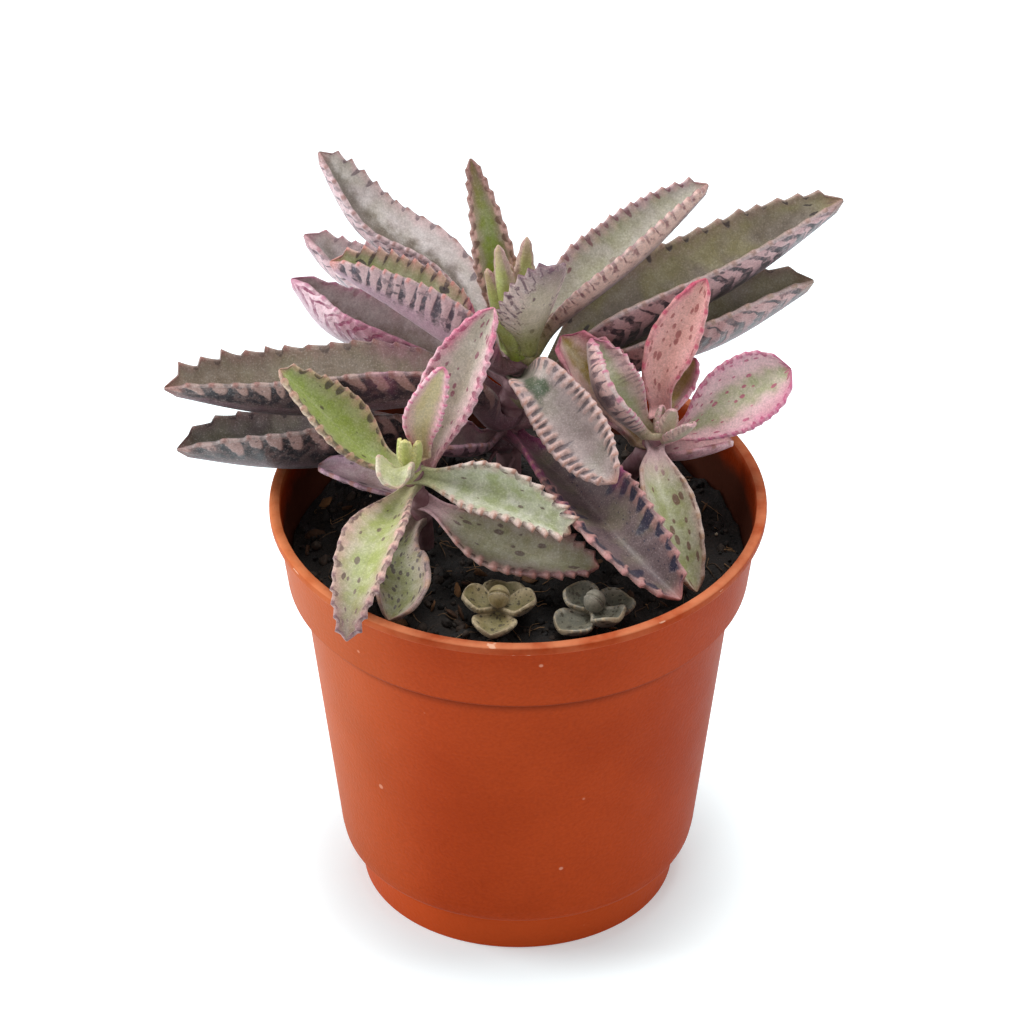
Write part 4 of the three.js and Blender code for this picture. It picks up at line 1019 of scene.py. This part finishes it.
def eased(profile, radius, steps=4):
    """The profile with its corners rounded off."""
    profile = [np.array(p, float) for p in profile]
    points = [profile[0]]
    t = np.linspace(0, 1, steps + 1)[:, None]
    for before, corner, after in zip(profile, profile[1:], profile[2:]):
        back, ahead = before - corner, after - corner
        cut = min(radius, 0.45 * np.linalg.norm(back), 0.45 * np.linalg.norm(ahead))
        start = corner + back / np.linalg.norm(back) * cut
        end = corner + ahead / np.linalg.norm(ahead) * cut
        points.extend((1 - t) ** 2 * start + 2 * t * (1 - t) * corner + t**2 * end)
    return np.array([*points, profile[-1]])


def lathe_shape(profile, sides, inside_from):
    """A solid of revolution. The first and last points of the profile are joined to the axis."""
    rings = [level_ring(r, z, sides) for r, z in profile]
    points = np.vstack([*rings, [[0, 0, profile[0][1]], [0, 0, profile[-1][1]]]])
    rows = len(profile)
    faces = ring_faces(rows, sides)
    first, last = rows * sides, rows * sides + 1
    faces += [[first, (j + 1) % sides, j] for j in range(sides)]
    top = (rows - 1) * sides
    faces += [[last, top + j, top + (j + 1) % sides] for j in range(sides)]
    place = np.zeros((len(points), 3))
    place[inside_from * sides : rows * sides, 0] = 1
    place[last, 0] = 1
    return Shape(points, faces, place)


# Each chip of the lip: its place in mm, how large it is, and how plainly it shows
CHIPS = [
    ((-3.5, -52.3, 91.6), 0.8, 0.9), ((-1.2, -52.4, 91.8), 0.6, 0.9), ((1.6, -52.4, 91.7), 0.8, 0.9),
    ((-5.4, -51.2, 93.7), 0.6, 0.6), ((-46.4, -24.6, 93.2), 0.5, 0.7), ((42.3, -31.1, 92.9), 0.6, 0.8),
    ((30.2, -42.9, 93.6), 0.4, 0.6), ((-33.5, -40.3, 92.0), 0.35, 0.5),
]


def pot_skin():
    """Matte orange plastic with specks, chips, wear, soil stains and some painted light and shade."""
    f = Finish("pot_plastic")
    place = f.place()
    cloud = f.noise(place, 28.0, 3.0)
    grain = f.noise(place, 1400.0)
    smear = f.noise(place, 160.0, 3.0)
    fray = f.noise(place, 620.0)
    inside = f.parts(f.kept("place"))
    side = f.parts(place)
    height = side.other(2)
    colour = f.blend(f.fade(cloud, 0.35, 0.65), tone("97340f"), tone("a03a14"))
    colour = f.blend(0.6, colour, 0.7 + 0.6 * grain, "MULTIPLY")
    specks = f.node("TexVoronoi", {}, {"Vector": place, "Scale": 210.0})
    speck_lot = f.parts(specks.other(1))
    speck = f.fade(specks + 0.3 * (smear - 0.5), 0.125, 0.06) * f.fade(speck_lot, 0.88, 0.89)
    colour = f.blend(speck * 0.45, colour, tone("dfa58a"))
    # Inside, the wall is darker below the lip: soil stains and painted shade inside the pot.
    soil_stain_and_shade = f.fade(height + 0.006 * (smear - 0.5), 0.0915, 0.086) * inside
    colour = f.blend(soil_stain_and_shade * 0.85, colour, tone("3a2a22"))
    worn = f.fade(height, 0.0905, 0.0925) * f.fade(smear, 0.3, 0.7)
    colour = f.blend(worn * 0.3, colour, tone("c2714d"))
    # A painted highlight along the top of the lip.
    painted_lip_highlight = f.fade(height, 0.0934, 0.0937) * f.fade(smear, 0.1, 0.7)
    colour = f.blend(painted_lip_highlight * 0.4, colour, tone("e39a70"))

    # The left side is lighter: a painted sheen
    painted_left_sheen = f.fade(side, -0.015, -0.05) * (1 - inside)
    colour = f.blend(painted_left_sheen * 0.3, colour, tone("cf7d48"))

    # A painted shadow under the collar's step, and painted light that makes the foot paler
    painted_step_shadow = f.fade(height, 0.071, 0.0745) * f.fade(height, 0.0765, 0.0757)
    colour = f.blend(painted_step_shadow * (1 - inside) * 0.85, colour, tone("5f1f0a"))
    # Painted light: the foot is made paler.
    painted_foot_light = f.fade(height, 0.0108, 0.0085) * (1 - inside)
    colour = f.blend(painted_foot_light * 0.6, colour, tone("bd4b1e"))

    for centre, size, strength in CHIPS:
        spot = tuple(c * MM for c in centre)
        off = f.node("VectorMath", {"operation": "SUBTRACT"}, {0: place, 1: spot})
        off = f.node("VectorMath", {"operation": "MULTIPLY"}, {0: off, 1: (0.5, 0.5, 3.2)})
        away = f.node("VectorMath", {"operation": "LENGTH"}, {0: off}, 1)
        near = f.fade(away + 0.0018 * (fray - 0.5), size * MM, 0.6 * size * MM)
        colour = f.blend(near * strength, colour, tone("e6bda2"))
    rough = 0.48 + 0.12 * (smear - 0.5) + 0.3 * soil_stain_and_shade
    return f.shaded(colour, rough, grain + cloud, 0.1, Specular_IOR_Level=0.035)


outside = eased(POT_OUTSIDE, 0.5)
profile = np.vstack([outside, eased(POT_INSIDE, 0.6)])
pot_shape = lathe_shape(profile, POT_SIDES, len(outside))
pot = make_piece("pot_fine", [pot_shape], pot_skin(), ["pot"])

DRAIN_HOLES = 6
DRAIN_RADIUS = 3
DRAIN_CIRCLE = 19.5
DRILL_SIDES = 24
drill_points, drill_faces = [], []
for i in range(DRAIN_HOLES):
    angle = 2 * math.pi * i / DRAIN_HOLES
    ring = level_ring(DRAIN_RADIUS, 0, DRILL_SIDES)
    ring += (DRAIN_CIRCLE * math.cos(angle), DRAIN_CIRCLE * math.sin(angle), 0)
    drill_faces += closed_faces(2, DRILL_SIDES, len(drill_points) * DRILL_SIDES)
    drill_points += [ring - (0, 0, 2), ring + (0, 0, 6)]
drill_mesh = bpy.data.meshes.new("drill")
drill_mesh.from_pydata((np.vstack(drill_points) * MM).tolist(), [], drill_faces)
drill = add_object("drill", drill_mesh)
cut = pot.modifiers.new("drain", "BOOLEAN")
cut.operation = "DIFFERENCE"
cut.object = drill
bored = bpy.data.meshes.new_from_object(pot.evaluated_get(bpy.context.evaluated_depsgraph_get()))
pot.modifiers.clear()
pot.data = bored
bpy.data.objects.remove(drill)
print("pot faces:", len(bored.polygons))

# %% [markdown]
# The potting soil is dark and crumbly. A lathe fills the pot, its top is pushed up and down by noise of
# three sizes, and loose crumbs, chips of bark and thin fibres lie on it. Each crumb keeps a number of its
# own at its points, so that the finish can give it its own shade.

# %% Soil
rng = np.random.default_rng(11)
SOIL_WALL = 47.8
SOIL_SIDES = 150
CRUMB_RADIUS = 46.5
SOIL_CRUMBS = 1000
BARK_CHIPS = 90
GRIT = 36
FIBRES = 190


def soil_height(x, y):
    r = math.hypot(x, y)
    waves = math.sin(0.31 * x + 1.2) * math.cos(0.27 * y) + 0.6 * math.sin(0.7 * x - 0.5 * y)
    return SOIL_LEVEL + 0.7 * waves - 2.5 * float(smooth_step(r, 34, 47))


def rough_height(x, y):
    spot = Vector((x, y, 0))
    lumps = 1.5 * rough_noise.noise(spot / 5) + 0.9 * rough_noise.noise(spot / 2.1)
    return soil_height(x, y) + (lumps + 0.5 * rough_noise.noise(spot))


below = [(31.9, 2.9), (32.2, 10.8), (35.6, 10.8), (36.6, 14.2), (44.5, 75.8), (44.5, 77), (47.5, 77)]
soil_rings = [level_ring(r, z, SOIL_SIDES) for r, z in below]
for r in np.linspace(SOIL_WALL, 0.4, 75):
    top = level_ring(r, 0, SOIL_SIDES)
    top[:, 2] = [rough_height(x, y) for x, y, _ in top]
    soil_rings.append(top)
soil_body = Shape(np.vstack(soil_rings), closed_faces(len(soil_rings), SOIL_SIDES))


def crumb_shape(centre, size, stretch, kind):
    """A small knobbly lump. kind picks its shade: 0 is soil, 1 is bark and 2 is pale grit."""
    base = CRUMB_POINTS * (1 + rng.normal(0, 0.16, (len(CRUMB_POINTS), 1)))
    axes, _ = np.linalg.qr(rng.normal(0, 1, (3, 3)))
    points = (base * np.array(stretch) * size) @ axes
    place = np.zeros((len(points), 3))
    place[:, 0] = rng.random()
    place[:, 1] = kind
    return Shape(points + np.array(centre), CRUMB_FACES, place)


ball = bmesh.new()
bmesh.ops.create_icosphere(ball, subdivisions=2, radius=1)
CRUMB_POINTS = np.array([v.co for v in ball.verts])
CRUMB_FACES = [[v.index for v in f.verts] for f in ball.faces]
ball.free()


def spot_on_soil(widest=CRUMB_RADIUS):
    r, angle = widest * math.sqrt(rng.random()), rng.random() * 2 * math.pi
    return r * math.cos(angle), r * math.sin(angle)


crumbs = []
for _ in range(SOIL_CRUMBS):
    x, y = spot_on_soil()
    size = 0.35 + 1.1 * rng.random() ** 3
    place, stretch = (x, y, rough_height(x, y) + 0.35 * size), rng.uniform(0.6, 1.2, 3)
    crumbs.append(crumb_shape(place, size, stretch, kind=0))
for _ in range(BARK_CHIPS):
    x, y = spot_on_soil()
    place = (x, y, rough_height(x, y) + 0.5)
    crumbs.append(crumb_shape(place, rng.uniform(0.8, 1.9), (1.2, 0.7, 0.25), kind=1))
for _ in range(GRIT):
    x, y = spot_on_soil()
    place = (x, y, rough_height(x, y) + 0.2)
    crumbs.append(crumb_shape(place, rng.uniform(0.25, 0.5), (1, 0.9, 0.8), kind=2))

fibres = []
for _ in range(FIBRES):
    x, y = spot_on_soil(45)
    angle, length = rng.random() * 2 * math.pi, rng.uniform(2.5, 8)
    points = []
    for _ in range(4):
        z = rough_height(x, y) + rng.uniform(0.1, 0.9)
        points.append((x, y, z))
        angle += rng.normal(0, 0.5)
        x, y = x + length / 3 * math.cos(angle), y + length / 3 * math.sin(angle)
        if math.hypot(x, y) > CRUMB_RADIUS:
            x, y = 0.95 * x, 0.95 * y
    fibres.append(tube_shape(Spine(points), [0.13, 0.1, 0.06], sides=5, rows=12, lot=rng.random()))


def soil_skin():
    """Dark soil with paler grains."""
    f = Finish("potting_soil")
    place = f.place()
    patch = f.noise(place, 260.0, 4.0)
    grain = f.noise(place, 1500.0, 4.0)
    colour = f.blend(f.fade(patch, 0.35, 0.7), tone("0e0b09"), tone("1f1813"))
    colour = f.blend(f.fade(grain, 0.55, 0.75) * 0.4, colour, tone("3a2d24"))
    return f.shaded(colour, 0.75 + 0.2 * grain, grain + patch, 0.6)


def crumb_skin():
    """Soil, bark or grit, by the crumb's kind, each crumb in its own shade."""
    f = Finish("soil_crumbs")
    lot = f.parts(f.kept("place"))
    kind = lot.other(1)
    grain = f.noise(f.place(), 1300.0, 3.0)
    colour = f.blend(f.fade(lot, 0.3, 1.0), tone("0f0c0a"), tone("352920"))
    bark = f.blend(lot, tone("3f2716"), tone("7a5430"))
    colour = f.blend(f.fade(kind, 0.4, 0.6), colour, bark)
    colour = f.blend(f.fade(kind, 1.4, 1.6), colour, tone("b9ad98"))
    colour = f.blend(0.6, colour, 0.4 + 1.1 * grain, "MULTIPLY")
    return f.shaded(colour, 0.7 + 0.2 * grain, grain, 0.4)


def fibre_skin():
    """Brown fibres, each in its own shade."""
    f = Finish("soil_fibres")
    lot = f.parts(f.kept("place"))
    grain = f.noise(f.place(), 900.0)
    colour = f.blend(lot.other(1), tone("2c1d14"), tone("8a6a48"))
    colour = f.blend(0.5, colour, 0.5 + grain, "MULTIPLY")
    return f.shaded(colour, 0.7 + 0.1 * grain, grain, 0.05)


make_piece("soil_fine", [soil_body], soil_skin(), ["soil"])
make_piece("soil_crumbs", crumbs, crumb_skin(), ["soil"])
make_piece("soil_fibres", fibres, fibre_skin(), ["soil"])
print("crumbs:", len(crumbs), "fibres:", len(fibres))

# %% [markdown]
# The floor is plain and nearly white and glows a little, and broad soft lights light the plant from
# above, so the only shadow is a faint one round the foot of the pot, deepened by a painted shadow in the
# floor's glow.

# %% Floor and lights
floor_finish = Finish("floor_paper")
paper = floor_finish.noise(floor_finish.place(), 40.0)
paper_colour = floor_finish.blend(paper, tone("def0f4"), tone("e1f3f7"))
from_middle = floor_finish.node("VectorMath", {"operation": "LENGTH"}, {0: floor_finish.place()}, 1)
# The glow is dimmer close to the pot's foot: a painted shadow.
floor_glow_painted_shadow = floor_finish.blend(floor_finish.fade(from_middle, 0.035, 0.058), tone("c2c5c6"), tone("ffffff"))
floor_finish.shaded(paper_colour, 0.9, paper, 0.02, Emission_Color=floor_glow_painted_shadow, Emission_Strength=0.5)
floor_mesh = bpy.data.meshes.new("floor")
FLOOR_HALF = 6.0
LIGHT_AIM = Vector((0, 0, 0.1))
corners = [(-FLOOR_HALF, -FLOOR_HALF, 0), (FLOOR_HALF, -FLOOR_HALF, 0)]
corners += [(FLOOR_HALF, FLOOR_HALF, 0), (-FLOOR_HALF, FLOOR_HALF, 0)]
floor_mesh.from_pydata(corners, [], [(0, 1, 2, 3)])
floor_mesh.materials.append(floor_finish.material)
floor = add_object("floor", floor_mesh)


def soft_light(name, place, size, watts):
    """A round lamp that faces the plant."""
    data = bpy.data.lights.new(name, "AREA")
    data.shape = "DISK"
    data.size = size
    data.energy = watts
    light = add_object(name, data)
    light.location = place
    light.rotation_euler = (LIGHT_AIM - Vector(place)).to_track_quat("-Z", "Y").to_euler()


world = bpy.data.worlds.new("studio")
world.use_nodes = True
world.node_tree.nodes["Background"].inputs["Color"].default_value = (1, 1, 1, 1)
world.node_tree.nodes["Background"].inputs["Strength"].default_value = 0.3
scene.world = world
soft_light("light_above", (0.05, 0.25, 1.8), 1.3, 25)
soft_light("light_left", (-1.5, 0.1, 0.75), 0.9, 19)
soft_light("light_right", (1.5, 0.1, 0.9), 0.7, 5)
soft_light("light_front", (-0.5, -1.5, 1.2), 0.7, 3.5)
scene.view_settings.view_transform = "Standard"
print("lights made")
